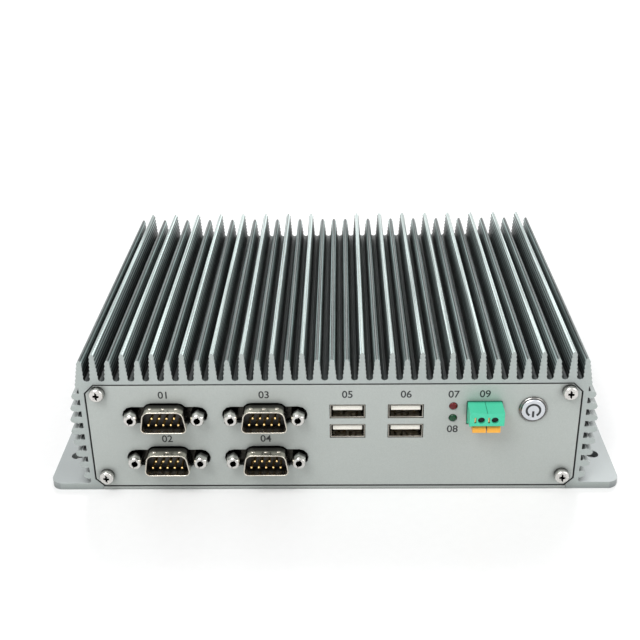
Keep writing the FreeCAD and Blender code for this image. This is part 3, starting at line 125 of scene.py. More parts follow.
class ComputerStage(bpy.types.PropertyGroup):
    """Camera, floor and light."""

    camera_place: bpy.props.FloatVectorProperty(
        name="Camera place", description="Where the camera stands", unit="LENGTH", size=3,
        default=(0.00405, -0.4017, 0.2394))
    tilt: angle_setting("Camera tilt", "Angle below the horizon", 26.64)
    turn: angle_setting("Camera turn", "Angle about the vertical", 1.412)
    roll: angle_setting("Camera roll", "Angle about the line of sight", -0.979)
    lens: number_setting("Lens", "Focal length in millimetres", 58.3)
    key_power: number_setting("Key light", "Power of the key lamp in watts", 7.0)
    ambient: number_setting("Ambient", "Strength of the studio's white walls", 0.42)


# --- Materials ---

# Nearly all values of a noise texture lie between these two
NOISE_LOW, NOISE_HIGH = 0.3, 0.7


def grey(value):
    """A neutral colour."""
    return (value,) * 3


def shade(colour, factor):
    """A colour made lighter or darker."""
    return tuple(min(1.0, channel * factor) for channel in colour)


class Surface:
    """A node material under construction, with short calls for the nodes that it needs."""

    def __init__(self, name, roughness=0.5, metallic=0.0, specular=0.5, coat=0.0):
        self.material = bpy.data.materials.new(name)
        self.material.use_nodes = True
        self.nodes = self.material.node_tree.nodes
        self.links = self.material.node_tree.links
        self.shader = self.nodes["Principled BSDF"]
        self.shader.inputs["Roughness"].default_value = roughness
        self.shader.inputs["Metallic"].default_value = metallic
        self.shader.inputs["Specular IOR Level"].default_value = specular
        self.shader.inputs["Coat Weight"].default_value = coat
        self.place = self.nodes.new("ShaderNodeTexCoord").outputs["Object"]

    def add(self, kind, inputs, **settings):
        """A new node with its settings, and each input linked to a socket or set to a value."""
        node = self.nodes.new(kind)
        for name, value in settings.items():
            setattr(node, name, value)
        for name, value in inputs.items():
            if isinstance(value, bpy.types.NodeSocket):
                self.links.new(value, node.inputs[name])
            else:
                node.inputs[name].default_value = value
        return node

    def stretched(self, scale):
        """Object coordinates stretched along the axes, for streaks."""
        return self.add("ShaderNodeMapping", {"Vector": self.place, "Scale": scale}).outputs["Vector"]

    def noise(self, scale, detail=3.0, source=None):
        """Noise of a given scale per metre."""
        inputs = {"Vector": source or self.place, "Scale": scale, "Detail": detail}
        return self.add("ShaderNodeTexNoise", inputs).outputs["Fac"]

    def ramp(self, factor, *stops):
        """A colour ramp with (position, colour) stops."""
        node = self.add("ShaderNodeValToRGB", {"Fac": factor})
        elements = node.color_ramp.elements
        while len(elements) < len(stops):
            elements.new(0.5)
        for element, (position, colour) in zip(elements, stops):
            element.position = position
            element.color = (*colour, 1.0)
        return node.outputs["Color"]

    def mottle(self, noise, low, high):
        """Noise turned into colours between two."""
        return self.ramp(noise, (NOISE_LOW, low), (NOISE_HIGH, high))

    def spread(self, noise, low, high):
        """Noise turned into a range of values."""
        inputs = {"Value": noise, "From Min": NOISE_LOW, "From Max": NOISE_HIGH,
                  "To Min": low, "To Max": high}
        return self.add("ShaderNodeMapRange", inputs).outputs["Result"]

    def multiply(self, first, second):
        """Two colours multiplied."""
        inputs = {"Factor": 1.0, "A": first, "B": second}
        return self.add("ShaderNodeMix", inputs, data_type="RGBA", blend_type="MULTIPLY").outputs["Result"]

    def blend(self, factor, first, second):
        """One colour at 0 and another at 1; the second may be a plain colour."""
        second = (*second, 1.0) if isinstance(second, tuple) else second
        inputs = {"Factor": factor, "A": first, "B": second}
        return self.add("ShaderNodeMix", inputs, data_type="RGBA").outputs["Result"]

    def calculate(self, operation, *values):
        """A sum on one or two values, each a socket or a number."""
        return self.add("ShaderNodeMath", dict(enumerate(values)), operation=operation).outputs["Value"]

    def distance(self, axis):
        """How far a point is from the origin along one axis, which is its height for Z."""
        node = self.add("ShaderNodeSeparateXYZ", {"Vector": self.place})
        return self.calculate("ABSOLUTE", node.outputs[axis])

    def between(self, factor, start, end):
        """0 at start and 1 at end, smooth between."""
        inputs = {"Value": factor, "From Min": start, "From Max": end}
        return self.add("ShaderNodeMapRange", inputs, interpolation_type="SMOOTHSTEP").outputs["Result"]

    def within(self, factor, edge, softness=0.1 * MM):
        """1 up to an edge and 0 past it, with a soft border."""
        return self.between(factor, edge + softness, edge - softness)

    def crevice_shade(self, distance, deepest_shade):
        """Painted shade: a grey that falls off in corners, gaps and under edges."""
        # Painted shade from ambient occlusion, down to the given grey at its deepest
        node = self.add("ShaderNodeAmbientOcclusion", {"Distance": distance}, samples=6)
        return self.ramp(node.outputs["AO"], (0.25, grey(deepest_shade)), (0.9, grey(1.0)))

    def bump(self, factor, strength, distance):
        """Bump from a factor, on top of any bump that is there."""
        inputs = {"Strength": strength, "Distance": distance, "Height": factor}
        normal = self.shader.inputs["Normal"]
        if normal.is_linked:
            inputs["Normal"] = normal.links[0].from_socket
        self.links.new(self.add("ShaderNodeBump", inputs).outputs["Normal"], normal)

    def colour(self, socket):
        """Feed the base colour."""
        self.links.new(socket, self.shader.inputs["Base Color"])

    def roughness(self, socket):
        """Feed the roughness."""
        self.links.new(socket, self.shader.inputs["Roughness"])


# Where the extrusion's shading changes: across, or up from the floor
SLOT_FLOOR = FIN_TOP - 11.6 * MM
RIDGE_PITCH = 1.6 * MM
RIB_GROOVE, RIB_CREST = 94.4 * MM, 95.9 * MM
FLANGE_TOP = 3.0 * MM
# The milled pocket at each end: half its width, its roof, and both together across a cut corner
POCKET_SIDE, POCKET_ROOF, POCKET_CORNER = 92.5 * MM, 47.2 * MM, 111.8 * MM
# Painted shade in the seam where the panels meet the base cover: its foot, top and soft edge, up from the
# floor
SEAM_FOOT, SEAM_TOP, SEAM_EDGE = 1.375 * MM, 2.075 * MM, 0.025 * MM
# Painted shade for the seam over the base cover and for the pocket walls round the panels, near black
SEAM_SHADE, POCKET_SHADE = grey(0.03), grey(0.04)


def fin_colour_and_shade(surface, streaks, height):
    """The fin flanks: painted shade deep at the root, a painted highlight at the tips, streaks along their
    length, and painted shade and highlight lines where they are ridged like a saw.
    """
    depth = surface.between(height, SLOT_FLOOR + 0.5 * MM, FIN_TOP - 0.2 * MM)
    # Painted shade that deepens towards the slot floor, and a painted highlight at the fin tips
    slot_shade = surface.ramp(depth, (0.0, (0.09, 0.1, 0.1)), (0.3, (0.36, 0.41, 0.41)),
                        (0.93, (0.74, 0.82, 0.81)), (1.0, (0.95, 1.02, 1.0)))
    lines = surface.ramp(streaks, (0.36, grey(0.45)), (0.5, grey(1.0)), (0.64, grey(1.5)))
    # Painted shade under each saw-tooth ridge and a painted highlight on it, repeating at the ridge pitch
    wave = surface.calculate("SINE", surface.calculate("MULTIPLY", height, math.tau / RIDGE_PITCH))
    ridge_shade = surface.ramp(surface.between(wave, -1.0, 1.0),
                          (0.1, grey(0.25)), (0.6, grey(1.0)), (0.9, grey(2.6)))
    return surface.multiply(surface.multiply(slot_shade, lines), ridge_shade)


def side_colour_and_shade(surface, height, across):
    """The sides: painted shade in the grooves between the rib crests, above a plain flange."""
    groove = surface.between(across, RIB_GROOVE, RIB_CREST)
    # Painted shade in each groove, lighter towards the rib crests
    groove_shade = surface.ramp(groove, (0.0, grey(0.1)), (0.8, grey(1.1)))
    at_flange = surface.within(height, FLANGE_TOP + 0.25 * MM, 0.15 * MM)
    return surface.blend(at_flange, groove_shade, (0.83, 0.83, 0.84))


def pocket_shade_share(surface, height, across):
    """Where the pockets' painted shade goes: 1 inside the milled pockets with their cut corners, and 0
    outside.
    """
    inside = surface.calculate("MULTIPLY", surface.within(across, POCKET_SIDE),
                               surface.within(height, POCKET_ROOF))
    from_middle = surface.calculate("ABSOLUTE", surface.calculate("SUBTRACT", height, PANEL_MIDDLE))
    diagonal = surface.calculate("ADD", across, from_middle)
    return surface.calculate("MULTIPLY", inside, surface.within(diagonal, POCKET_CORNER))


def extrusion_material(finish):
    """Anodised extrusion: satin grey, streaked along its length, with painted shade deep in the slots
    between the fin flanks.
    """
    surface = Surface("anodised_extrusion", metallic=0.3)
    streaks = surface.noise(1700, 4.0, surface.stretched((1.0, 0.008, 1.0)))
    grain = surface.noise(3600, 2.0)
    height, across, along = (surface.distance(axis) for axis in "ZXY")
    end_face = surface.between(along, END - 0.12 * MM, END - 0.02 * MM)
    below_fins = surface.within(height, SLOT_FLOOR - 0.3 * MM)
    zone = surface.blend(below_fins, fin_colour_and_shade(surface, streaks, height),
                         side_colour_and_shade(surface, height, across))
    sawn = surface.mottle(grain, (0.94, 0.96, 0.94), (1.06, 1.08, 1.06))
    # Painted shade over the pocket walls where the panels sit
    colour = surface.blend(pocket_shade_share(surface, height, across),
                           surface.blend(end_face, zone, sawn), POCKET_SHADE)
    base = surface.mottle(surface.noise(30, 2.0), shade(finish.housing, 0.96), shade(finish.housing, 1.04))
    # Painted shade in the extrusion's corners multiplies the colour
    surface.colour(surface.multiply(surface.multiply(base, colour), surface.crevice_shade(5 * MM, 0.4)))
    surface.bump(streaks, 0.3, 0.05 * MM)
    surface.bump(grain, 0.2, 0.02 * MM)
    surface.roughness(surface.spread(grain, 0.34, 0.5))
    return surface.material


def panel_material(finish):
    """Fine blasted and anodised plate, with painted shade in its corners and in the seam over the base
    cover.
    """
    surface = Surface("blasted_panel", metallic=0.25)
    grain = surface.noise(3600, 3.0)
    base = surface.mottle(grain, shade(finish.panel, 0.93), shade(finish.panel, 1.07))
    soft = surface.mottle(surface.noise(22, 2.0), grey(0.965), grey(1.0))
    height = surface.distance("Z")
    # Painted shade in a narrow strip of the panel along the seam over the base cover
    seam = surface.calculate("MULTIPLY", surface.within(height, SEAM_FOOT, -SEAM_EDGE),
                             surface.within(height, SEAM_TOP, SEAM_EDGE))
    colour = surface.blend(seam, surface.multiply(base, soft), SEAM_SHADE)
    # Painted shade in the panel's corners multiplies the colour
    surface.colour(surface.multiply(colour, surface.crevice_shade(2.5 * MM, 0.25)))
    surface.bump(grain, 0.25, 0.02 * MM)
    surface.roughness(surface.spread(grain, 0.4, 0.54))
    return surface.material


def metal_material(name, colour, roughness, scale=900, amount=0.1, deepest_shade=0.12, proud=None, root=0.1):
    """Plated or turned metal with faint clouding, painted shade in its corners and, where it stands proud
    of a panel by some millimetres, painted shade at its root."""
    surface = Surface(name, metallic=1.0)
    cloud = surface.noise(scale)
    base = surface.mottle(cloud, shade(colour, 1 - amount), shade(colour, 1 + amount))
    if proud:
        # Painted shade at the root near the panel, as deep as the root grey and fading out along the reach
        reach = surface.between(surface.distance("Y"), END, END + proud * MM)
        root_shade = surface.ramp(reach, (0.0, grey(root)), (0.45, grey(root * 1.8)), (0.8, grey(1.0)))
        base = surface.multiply(base, root_shade)
    # Painted shade in the metal's corners multiplies the colour
    surface.colour(surface.multiply(base, surface.crevice_shade(2.2 * MM, deepest_shade)))
    surface.roughness(surface.spread(cloud, roughness * 0.8, roughness * 1.3))
    surface.bump(surface.noise(scale * 4), 0.1, 0.01 * MM)
    return surface.material


def plastic_material(name, colour, roughness=0.4, scale=2500, amount=0.07, deepest_shade=0.12):
    """Moulded plastic with a fine spark-eroded grain and painted shade in its corners."""
    surface = Surface(name)
    grain = surface.noise(scale)
    base = surface.mottle(grain, shade(colour, 1 - amount), shade(colour, 1 + amount))
    # Painted shade in the moulding's corners multiplies the colour
    surface.colour(surface.multiply(base, surface.crevice_shade(2.0 * MM, deepest_shade)))
    surface.roughness(surface.spread(grain, roughness * 0.85, roughness * 1.15))
    surface.bump(grain, 0.12, 0.015 * MM)
    return surface.material


def lens_material(name, colour, glow):
    """Tinted lens of an indicator light, with a painted glow of its own colour as strong as glow."""
    surface = Surface(name, roughness=0.14, specular=0.3, coat=0.1)
    swirl = surface.noise(700)
    surface.colour(surface.mottle(swirl, shade(colour, 0.8), shade(colour, 1.25)))
    # Painted glow: the lens gives off its own colour as light
    surface.shader.inputs["Emission Color"].default_value = (*colour, 1.0)
    surface.shader.inputs["Emission Strength"].default_value = glow
    surface.roughness(surface.spread(swirl, 0.1, 0.2))
    return surface.material


def board_material():
    """Coated circuit board with traces."""
    surface = Surface("circuit_board")
    traces = surface.noise(260, 6.0)
    surface.colour(surface.ramp(traces, (0.42, (0.01, 0.09, 0.04)), (0.5, (0.02, 0.16, 0.07)),
                                (0.58, (0.01, 0.07, 0.03))))
    surface.bump(traces, 0.2, 0.05 * MM)
    surface.roughness(surface.spread(traces, 0.3, 0.45))
    return surface.material


MATERIALS = {}


def make_materials(finish):
    """Every finish that the computer has, by name."""
    MATERIALS.update({
        "housing": extrusion_material(finish),
        "panel": panel_material(finish),
        "plated": metal_material("bright_plating", finish.plated, 0.25, 400, 0.05, proud=2.6, root=0.3),
        "jackscrew": metal_material("bright_hexagon", finish.plated, 0.16, 400, 0.05, proud=4.2, root=0.1),
        "shell": metal_material("drawn_shell", finish.shell, 0.22, 250, 0.05, proud=5.6, root=0.09),
        "socket": metal_material("folded_sheet", shade(finish.shell, 0.75), 0.26, 250, 0.06, deepest_shade=0.03),
        "gilt": metal_material("gilt_contact", finish.gilt, 0.22, deepest_shade=0.3),
        "satin": metal_material("satin_button", (0.60, 0.62, 0.65), 0.34, 1500, 0.05, deepest_shade=0.3),
        "aluminium": metal_material("milled_aluminium", (0.55, 0.56, 0.58), 0.35),
        "black": plastic_material("black_moulding", finish.black, 0.34, 2500, 0.2, 0.5),
        # Near-black discs that stand for the shade deep inside holes
        "hole_shade": plastic_material("painted_hole_shade", (0.004, 0.004, 0.004), 0.6, 2500, 0.2, 1.0),
        "grey": plastic_material("grey_plug", (0.032, 0.033, 0.036), 0.42, 2500, 0.15, 0.6),
        "white": plastic_material("white_moulding", finish.white, 0.4, deepest_shade=0.35),
        "blue": plastic_material("blue_moulding", finish.blue, 0.34, deepest_shade=0.3),
        "switch_green": plastic_material("switch_green", finish.switch_green, 0.36),
        "supply_green": plastic_material("supply_green", finish.supply_green, 0.36),
        "orange": plastic_material("orange_lever", finish.orange, 0.36, deepest_shade=0.3),
        "red_lens": lens_material("red_lens", (0.10, 0.002, 0.004), 0.0),
        "green_lens": lens_material("green_lens", (0.003, 0.05, 0.018), 0.0),
        # The network lights' lenses get a painted glow
        "amber_lens": lens_material("amber_lens", (0.62, 0.50, 0.02), 0.25),
        "link_lens": lens_material("link_lens", (0.03, 0.68, 0.14), 0.25),
        "board": board_material(),
        "ink": plastic_material("printed_ink", finish.print_ink, 0.5, 6000, 0.15, 1.0),
    })


FINISH_NODES = {
    "housing": ["heatsink_housing"],
    "panel": ["front_panel", "rear_panel", "base_cover"],
    "plated": ["base_cover_screws", "front_panel_screws", "rear_panel_screws", "serial_jackscrews",
               "display_jackscrews", "ground_screw", "ground_washer", "board_standoffs",
               "power_button_ring", "supply_pins"],
    "satin": ["power_button_cap"],
    "shell": ["serial_shell_1", "serial_shell_2", "serial_shell_3", "serial_shell_4", "display_shell"],
    "socket": ["front_data_1_shell", "front_data_2_shell", "rear_data_shell", "screen_socket_shell",
              "network_shell_1", "network_shell_2"],
    "black": ["serial_body_1", "serial_body_2", "audio_jack_body", "network_body_1", "network_body_2",
              "rear_data_lower_tongue", "screen_socket_tongue", "processor", "memory_socket",
              "power_switch"],
    "grey": ["antenna_hole_plugs"],
    "gilt": ["serial_pins", "data_port_contacts", "network_contacts", "audio_jack_sleeve",
             "supply_inserts"],
    "white": ["front_data_1_tongues", "front_data_2_tongues"],
    "blue": ["display_body", "rear_data_upper_tongue"],
    "supply_green": ["supply_terminal"],
    "switch_green": ["switch_plug", "switch_header"],
    "orange": ["switch_release_1", "switch_release_2"],
    "red_lens": ["storage_light"],
    "green_lens": ["power_light"],
    "link_lens": ["network_lights"],
    "board": ["main_board", "serial_board", "button_board", "memory_module"],
    "aluminium": ["thermal_block", "storage_drive"],
}
NODE_FINISH = {node: finish for finish, nodes in FINISH_NODES.items() for node in nodes}


def body_of(node):
    """The body that a CAD node rides on."""
    bodies = frame["record"]["behaviour"]["bodies"]
    return next(body for body, members in bodies.items() if node in members)


def coat(piece, finish):
    """Give a piece one finish, in place of whatever it has."""
    piece.data.materials.clear()
    piece.data.materials.append(MATERIALS[finish])


# --- Shared modelling steps ---

# A face that is larger than this and square to the axes is shaded flat
FLAT_AREA = 4e-6
SQUARE = 0.9999
# Corners that are nearer than this are merged
SAME_PLACE = 0.0005 * MM
# Rounding of the folded sheets, the small mouldings, the levers and the supply terminal
SHEET_EDGE, MOULDED_EDGE, LEVER_EDGE, TERMINAL_EDGE = 0.12 * MM, 0.1 * MM, 0.15 * MM, 0.18 * MM
DISC_THICKNESS = 0.3
PANEL_FACE = {-1: FRONT, 1: REAR}


def centre_of(node):
    """The middle of a CAD node, across and up."""
    low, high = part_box(node)
    return (low.x + high.x) / 2, (low.z + high.z) / 2


def radius_of(node):
    """The radius of a round CAD node, or of two that stand side by side, in millimetres."""
    low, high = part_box(node)
    return min(high.x - low.x, high.z - low.z) / 2 / MM


def ends_of(node, outward):
    """The depths of a CAD node's inner and outer end, at the front (-1) or the rear (1)."""
    low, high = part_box(node)
    return (low.y, high.y) if outward > 0 else (high.y, low.y)


def reach_of(node, outward):
    """How far a CAD node stands off its panel, in millimetres."""
    return abs(ends_of(node, outward)[1] - PANEL_FACE[outward]) / MM


def of_kind(items, kind):
    """The vertices, edges or faces among what a bmesh operator made."""
    return [item for item in items if isinstance(item, kind)]


def make_piece(name, bm, finish, body="chassis", replaced=(), crease=32):
    """A finished piece from a bmesh: shaded, riding on its body and standing for CAD nodes."""
    bmesh.ops.recalc_face_normals(bm, faces=bm.faces)
    mesh = bpy.data.meshes.new(name)
    bm.to_mesh(mesh)
    bm.free()
    piece = bpy.data.objects.new(name, mesh)
    bpy.context.scene.collection.objects.link(piece)
    coat(piece, finish)
    mesh.set_sharp_from_angle(angle=math.radians(crease))
    for face in mesh.polygons:
        square = max(abs(part) for part in face.normal) > SQUARE
        face.use_smooth = not (square and face.area > FLAT_AREA)
    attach(piece, body)
    if replaced:
        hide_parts(*replaced)


def ease_edges(bm, edges, width, segments=2):
    """Round some edges."""
    bmesh.ops.bevel(bm, geom=edges, offset=width, affect="EDGES", segments=segments, profile=0.5,
                    material=-1, clamp_overlap=True)


def sharp_edges(bm, angle=30):
    """Edges where two faces meet at more than an angle in degrees."""
    return [edge for edge in bm.edges
            if len(edge.link_faces) == 2 and edge.calc_face_angle(0) > math.radians(angle)]


def copy_node(node):
    """A CAD node's shape with its doubles merged and its flats joined."""
    bm = bmesh.new()
    bm.from_mesh(frame["nodes"][node].data)
    bmesh.ops.remove_doubles(bm, verts=bm.verts, dist=SAME_PLACE)
    bmesh.ops.dissolve_limit(bm, angle_limit=math.radians(1.0), verts=bm.verts, edges=bm.edges)
    return bm


def ease_node(node, width):
    """Stand a copy with eased edges in for a CAD node."""
    bm = copy_node(node)
    ease_edges(bm, sharp_edges(bm), width)
    make_piece(f"{node}_eased", bm, NODE_FINISH[node], body_of(node), [node])


def facing(outward):
    """The turn that takes +Z to the front (-1) or the rear (1), and keeps +Y as up."""
    front = Matrix.Rotation(math.radians(90), 4, "X")
    return front if outward < 0 else Matrix.Rotation(math.radians(180), 4, "Z") @ front


def add_part(bm, part, place, outward):
    """Lay a part, built facing +Z at the origin, on a panel and join it to a piece."""
    bmesh.ops.transform(part, matrix=Matrix.Translation(place) @ facing(outward), verts=part.verts)
    mesh = bpy.data.meshes.new("part")
    part.to_mesh(mesh)
    part.free()
    bm.from_mesh(mesh)
    bpy.data.meshes.remove(mesh)


def turned(profile, steps):
    """A turned part: (radius, height) points in millimetres spun about +Z."""
    part = bmesh.new()
    verts = [part.verts.new((radius * MM, 0, height * MM)) for radius, height in profile]
    edges = [part.edges.new(pair) for pair in zip(verts, verts[1:])]
    bmesh.ops.spin(part, geom=verts + edges, cent=(0, 0, 0), axis=(0, 0, 1), dvec=(0, 0, 0),
                   angle=math.tau, steps=steps, use_merge=True)
    bmesh.ops.remove_doubles(part, verts=part.verts, dist=SAME_PLACE)
    bmesh.ops.recalc_face_normals(part, faces=part.faces)
    return part


def disc(radius, top, steps=24):
    """A thin turned disc whose face is at a height, in millimetres."""
    foot = top - DISC_THICKNESS
    return turned([(0, top), (radius, top), (radius, foot), (0, foot)], steps)


def outline(width, height, corner_radius, segments, slant=0.0):
    """A part that is one flat face with four rounded corners, the upper two drawn in by a slant."""
    side, top = width / 2, height / 2
    corners = ((-side, -top), (side, -top), (side - slant, top), (slant - side, top))
    part = bmesh.new()
    verts = [part.verts.new((across, up, 0)) for across, up in corners]
    part.faces.new(verts)
    bmesh.ops.bevel(part, geom=verts, offset=corner_radius, affect="VERTICES", segments=segments,
                    profile=0.5, material=-1)
    part.faces.ensure_lookup_table()
    return part


def push(part, face, distance):
    """Extrude a face along Z and return its new end. A face that this encloses is taken away."""
    enclosed = all(len(edge.link_faces) > 1 for edge in face.edges)
    made = bmesh.ops.extrude_face_region(part, geom=[face])["geom"]
    bmesh.ops.translate(part, verts=of_kind(made, BMVert), vec=(0, 0, distance))
    if enclosed and face.is_valid:
        bmesh.ops.delete(part, geom=[face], context="FACES_ONLY")
    return of_kind(made, BMFace)[0]


def post(radius, height, segments):
    """A part with a foot and a wall about +Z, open above, and the edges of its opening."""
    part = bmesh.new()
    bmesh.ops.create_circle(part, cap_ends=True, segments=segments, radius=radius)
    wall = bmesh.ops.extrude_edge_only(part, edges=part.edges)["geom"]
    bmesh.ops.translate(part, verts=of_kind(wall, BMVert), vec=(0, 0, height))
    return part, of_kind(wall, BMEdge)


def bar(width, height, thickness):
    """A flat bar."""
    part = bmesh.new()
    bmesh.ops.create_cube(part, size=1.0)
    bmesh.ops.translate(part, verts=part.verts, vec=(0, 0, 0.5))
    bmesh.ops.scale(part, verts=part.verts, vec=(width, height, thickness))
    return part


def arc(radius, line, thickness, start=0.0, sweep=math.tau):
    """A flat ring or part of one, spun from a small section."""
    part = bmesh.new()
    section = bmesh.ops.create_grid(part, x_segments=1, y_segments=1, size=0.5)["verts"]
    bmesh.ops.scale(part, verts=section, vec=(line, thickness, 1.0))
    bmesh.ops.rotate(part, verts=section, cent=(0, 0, 0), matrix=Matrix.Rotation(math.radians(90), 3, "X"))
    bmesh.ops.translate(part, verts=section, vec=(radius, 0, thickness / 2))
    bmesh.ops.rotate(part, verts=section, cent=(0, 0, 0), matrix=Matrix.Rotation(start, 3, "Z"))
    closed = sweep >= math.tau
    face = list(part.faces)
    geometry = section + list(part.edges) + ([] if closed else face)
    if closed:
        bmesh.ops.delete(part, geom=face, context="FACES_ONLY")
    bmesh.ops.spin(part, geom=geometry, cent=(0, 0, 0), axis=(0, 0, 1), dvec=(0, 0, 0), angle=sweep,
                   steps=40, use_merge=closed)
    return part


# --- Housing and panels ---

SAWN_EDGE = 0.07 * MM
# Screw heads: the rim's rounding is a share of the head, the arms' half width one of the recess,
# and the recess's depth one of the head's height
HEAD_ROUNDING, ARM_SHARE, RECESS_DEPTH, RECESS_TAPER = 0.16, 0.16, 0.55, 0.55


def ease_housing():
    """The extrusion with the burr taken off its sawn ends."""
    bm = copy_node("heatsink_housing")
    rims = [edge for edge in sharp_edges(bm)
            if all(abs(vert.co.y) > END - 0.01 * MM for vert in edge.verts)]
    ease_edges(bm, rims, SAWN_EDGE, 1)
    make_piece("heatsink_housing_eased", bm, "housing", "chassis", ["heatsink_housing"], 20)


def screw_head(head, height, cross):
    """A cylinder head with a rounded rim and a cross recess that narrows to its floor."""
    part, rim = post(head / 2, height, 36)
    half, arm = cross / 2, cross * ARM_SHARE
    corners = [(half, -arm), (half, arm), (arm, arm), (arm, half), (-arm, half), (-arm, arm),
               (-half, arm), (-half, -arm), (-arm, -arm), (-arm, -half), (arm, -half), (arm, -arm)]
    recess = part.faces.new([part.verts.new((across, up, height)) for across, up in corners])
    bmesh.ops.bridge_loops(part, edges=rim + list(recess.edges))
    floor = push(part, recess, -height * RECESS_DEPTH)
    bmesh.ops.scale(part, verts=floor.verts, vec=(RECESS_TAPER, RECESS_TAPER, 1.0))
    bmesh.ops.recalc_face_normals(part, faces=part.faces)
    ease_edges(part, [edge for edge in rim if edge.is_valid], head * HEAD_ROUNDING, 5)
    return part


def make_panel_screws(sizes):
    """Four heads at the corners of each panel."""
    head = sizes.screw_head
    for node, outward in (("front_panel_screws", -1), ("rear_panel_screws", 1)):
        low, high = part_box(node)
        height = reach_of(node, outward) * MM
        bm = bmesh.new()
        for x in (low.x + head / 2, high.x - head / 2):
            for z in (low.z + head / 2, high.z - head / 2):
                place = (x, PANEL_FACE[outward], z)
                add_part(bm, screw_head(head, height, sizes.cross), place, outward)
        make_piece(f"{node}_heads", bm, "plated", "chassis", [node], 40)


# --- D-shaped connectors ---

SERIAL_SHELLS = [f"serial_shell_{number}" for number in range(1, 5)]
# Width and height of the shells' mouths
SERIAL_MOUTH, DISPLAY_MOUTH = (17.9 * MM, 9.4 * MM), (16.9 * MM, 8.5 * MM)
SHELL_RIM = 0.2 * MM
FLANGE_SHEET, FLANGE_CORNER = 0.8 * MM, 1.5 * MM
# Dimples on the shell's upper side: their places are shares of its width
DIMPLE_SHARES = (-0.27, 0.0, 0.27)
DIMPLE_RADIUS, DIMPLE_SETBACK = 0.9 * MM, 2.6 * MM
# Jackscrews: width across corners and bore, place beside the port, and drops below the outer end
JACKSCREW_WIDTH, JACKSCREW_BORE = 5.7 * MM, 2.5 * MM
JACKSCREW_OFFSET = 12.495 * MM
SHOULDER_DROP, FACE_DROP, BORE_DROP = 0.9 * MM, 0.12 * MM, 3.0 * MM
PIN_PITCH, PIN_ROW_OFFSET = 2.77 * MM, 1.42 * MM
PIN_ROWS = ((-1, 5), (1, 4))
# Contact sockets of the display port, in five columns and three slanted rows
CONTACT_PITCH, CONTACT_ROW_PITCH, CONTACT_RECESS = 2.29 * MM, 1.98 * MM, 0.3 * MM


def drawn_collar(mouth, depth, sizes):
    """The hollow D-shaped collar with a rounded rim."""
    part = outline(*mouth, sizes.shell_corner, 7, sizes.shell_slant)
    tip = push(part, part.faces[0], depth)
    bmesh.ops.inset_region(part, faces=[tip], thickness=sizes.shell_sheet, use_even_offset=True)
    push(part, tip, FLANGE_SHEET / 2 - depth)
    bmesh.ops.recalc_face_normals(part, faces=part.faces)
    rim = [edge for edge in sharp_edges(part, 60)
           if all(abs(vert.co.z - depth) < 0.001 * MM for vert in edge.verts)]
    ease_edges(part, rim, SHELL_RIM, 3)
    return part


def flange(width, height):
    """The shell's flange, a rounded plate."""
    part = outline(width, height, FLANGE_CORNER, 4)
    push(part, part.faces[0], FLANGE_SHEET)
    return part


def dimple():
    """A shallow boss, half of it sunk in the sheet."""
    part = bmesh.new()
    bmesh.ops.create_uvsphere(part, u_segments=14, v_segments=8, radius=DIMPLE_RADIUS)
    bmesh.ops.scale(part, verts=part.verts, vec=(1.0, 0.45, 0.8))
    return part


def make_d_shell(node, mouth, outward, sizes):
    """A drawn shell with three dimples above and a flange behind the panel."""
    low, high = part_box(node)
    x, z = centre_of(node)
    seat, tip = ends_of(node, outward)
    width, height = mouth
    bm = bmesh.new()
    add_part(bm, flange(high.x - low.x, high.z - low.z), (x, seat, z), outward)
    collar = drawn_collar(mouth, abs(tip - seat) - FLANGE_SHEET, sizes)
    add_part(bm, collar, (x, seat + FLANGE_SHEET * outward, z), outward)
    for share in DIMPLE_SHARES:
        place = (x + width * share, tip - DIMPLE_SETBACK * outward, z + height / 2)
        add_part(bm, dimple(), place, outward)
    make_piece(f"{node}_drawn", bm, "shell", "chassis", [node], 35)


def jackscrew(length):
    """A hexagonal nut with its corners turned off to a round face, and a threaded bore."""
    part, shoulder = post(JACKSCREW_WIDTH / 2, length - SHOULDER_DROP, 6)
    bore = JACKSCREW_BORE / 2
    loops = [shoulder]
    for radius, drop in ((JACKSCREW_WIDTH * 0.4, FACE_DROP), (JACKSCREW_WIDTH * 0.365, 0.0),
                         (bore, 0.0), (bore, BORE_DROP)):
        made = bmesh.ops.create_circle(part, cap_ends=False, segments=24, radius=radius)["verts"]
        bmesh.ops.translate(part, verts=made, vec=(0, 0, length - drop))
        loops.append(list({edge for vert in made for edge in vert.link_edges}))
    for outer, inner in zip(loops, loops[1:]):
        bmesh.ops.bridge_loops(part, edges=outer + inner)
    bmesh.ops.holes_fill(part, edges=loops[-1], sides=24)
    bmesh.ops.recalc_face_normals(part, faces=part.faces)
    return part


def make_jackscrews(node, shells, outward):
    """Jackscrews on both sides of every port of one panel."""
    tip = ends_of(node, outward)[1]
    bm = bmesh.new()
    for shell in shells:
        x, z = centre_of(shell)
        root = ends_of(shell, outward)[0] + FLANGE_SHEET * outward
        for side in (-1, 1):
            add_part(bm, jackscrew(abs(tip - root)), (x + JACKSCREW_OFFSET * side, root, z), outward)
    make_piece(f"{node}_turned", bm, "jackscrew", "chassis", [node], 30)


def make_pins(sizes):
    """Gilt pins with rounded tips."""
    root, tip = ends_of("serial_pins", -1)
    radius, length = sizes.pin / 2 / MM, abs(tip - root) / MM
    profile = [(0, length), (radius * 0.55, length - 0.06), (radius * 0.9, length - 0.3),
               (radius, length - 0.6), (radius, 0), (0, 0)]
    bm = bmesh.new()
    for shell in SERIAL_SHELLS:
        x, z = centre_of(shell)
        for row, count in PIN_ROWS:
            for pin in range(count):
                across = PIN_PITCH * (pin - (count - 1) / 2)
                add_part(bm, turned(profile, 10), (x + across, root, z + PIN_ROW_OFFSET * row), -1)
    make_piece("serial_pins_rounded", bm, "gilt", "chassis", ["serial_pins"], 50)


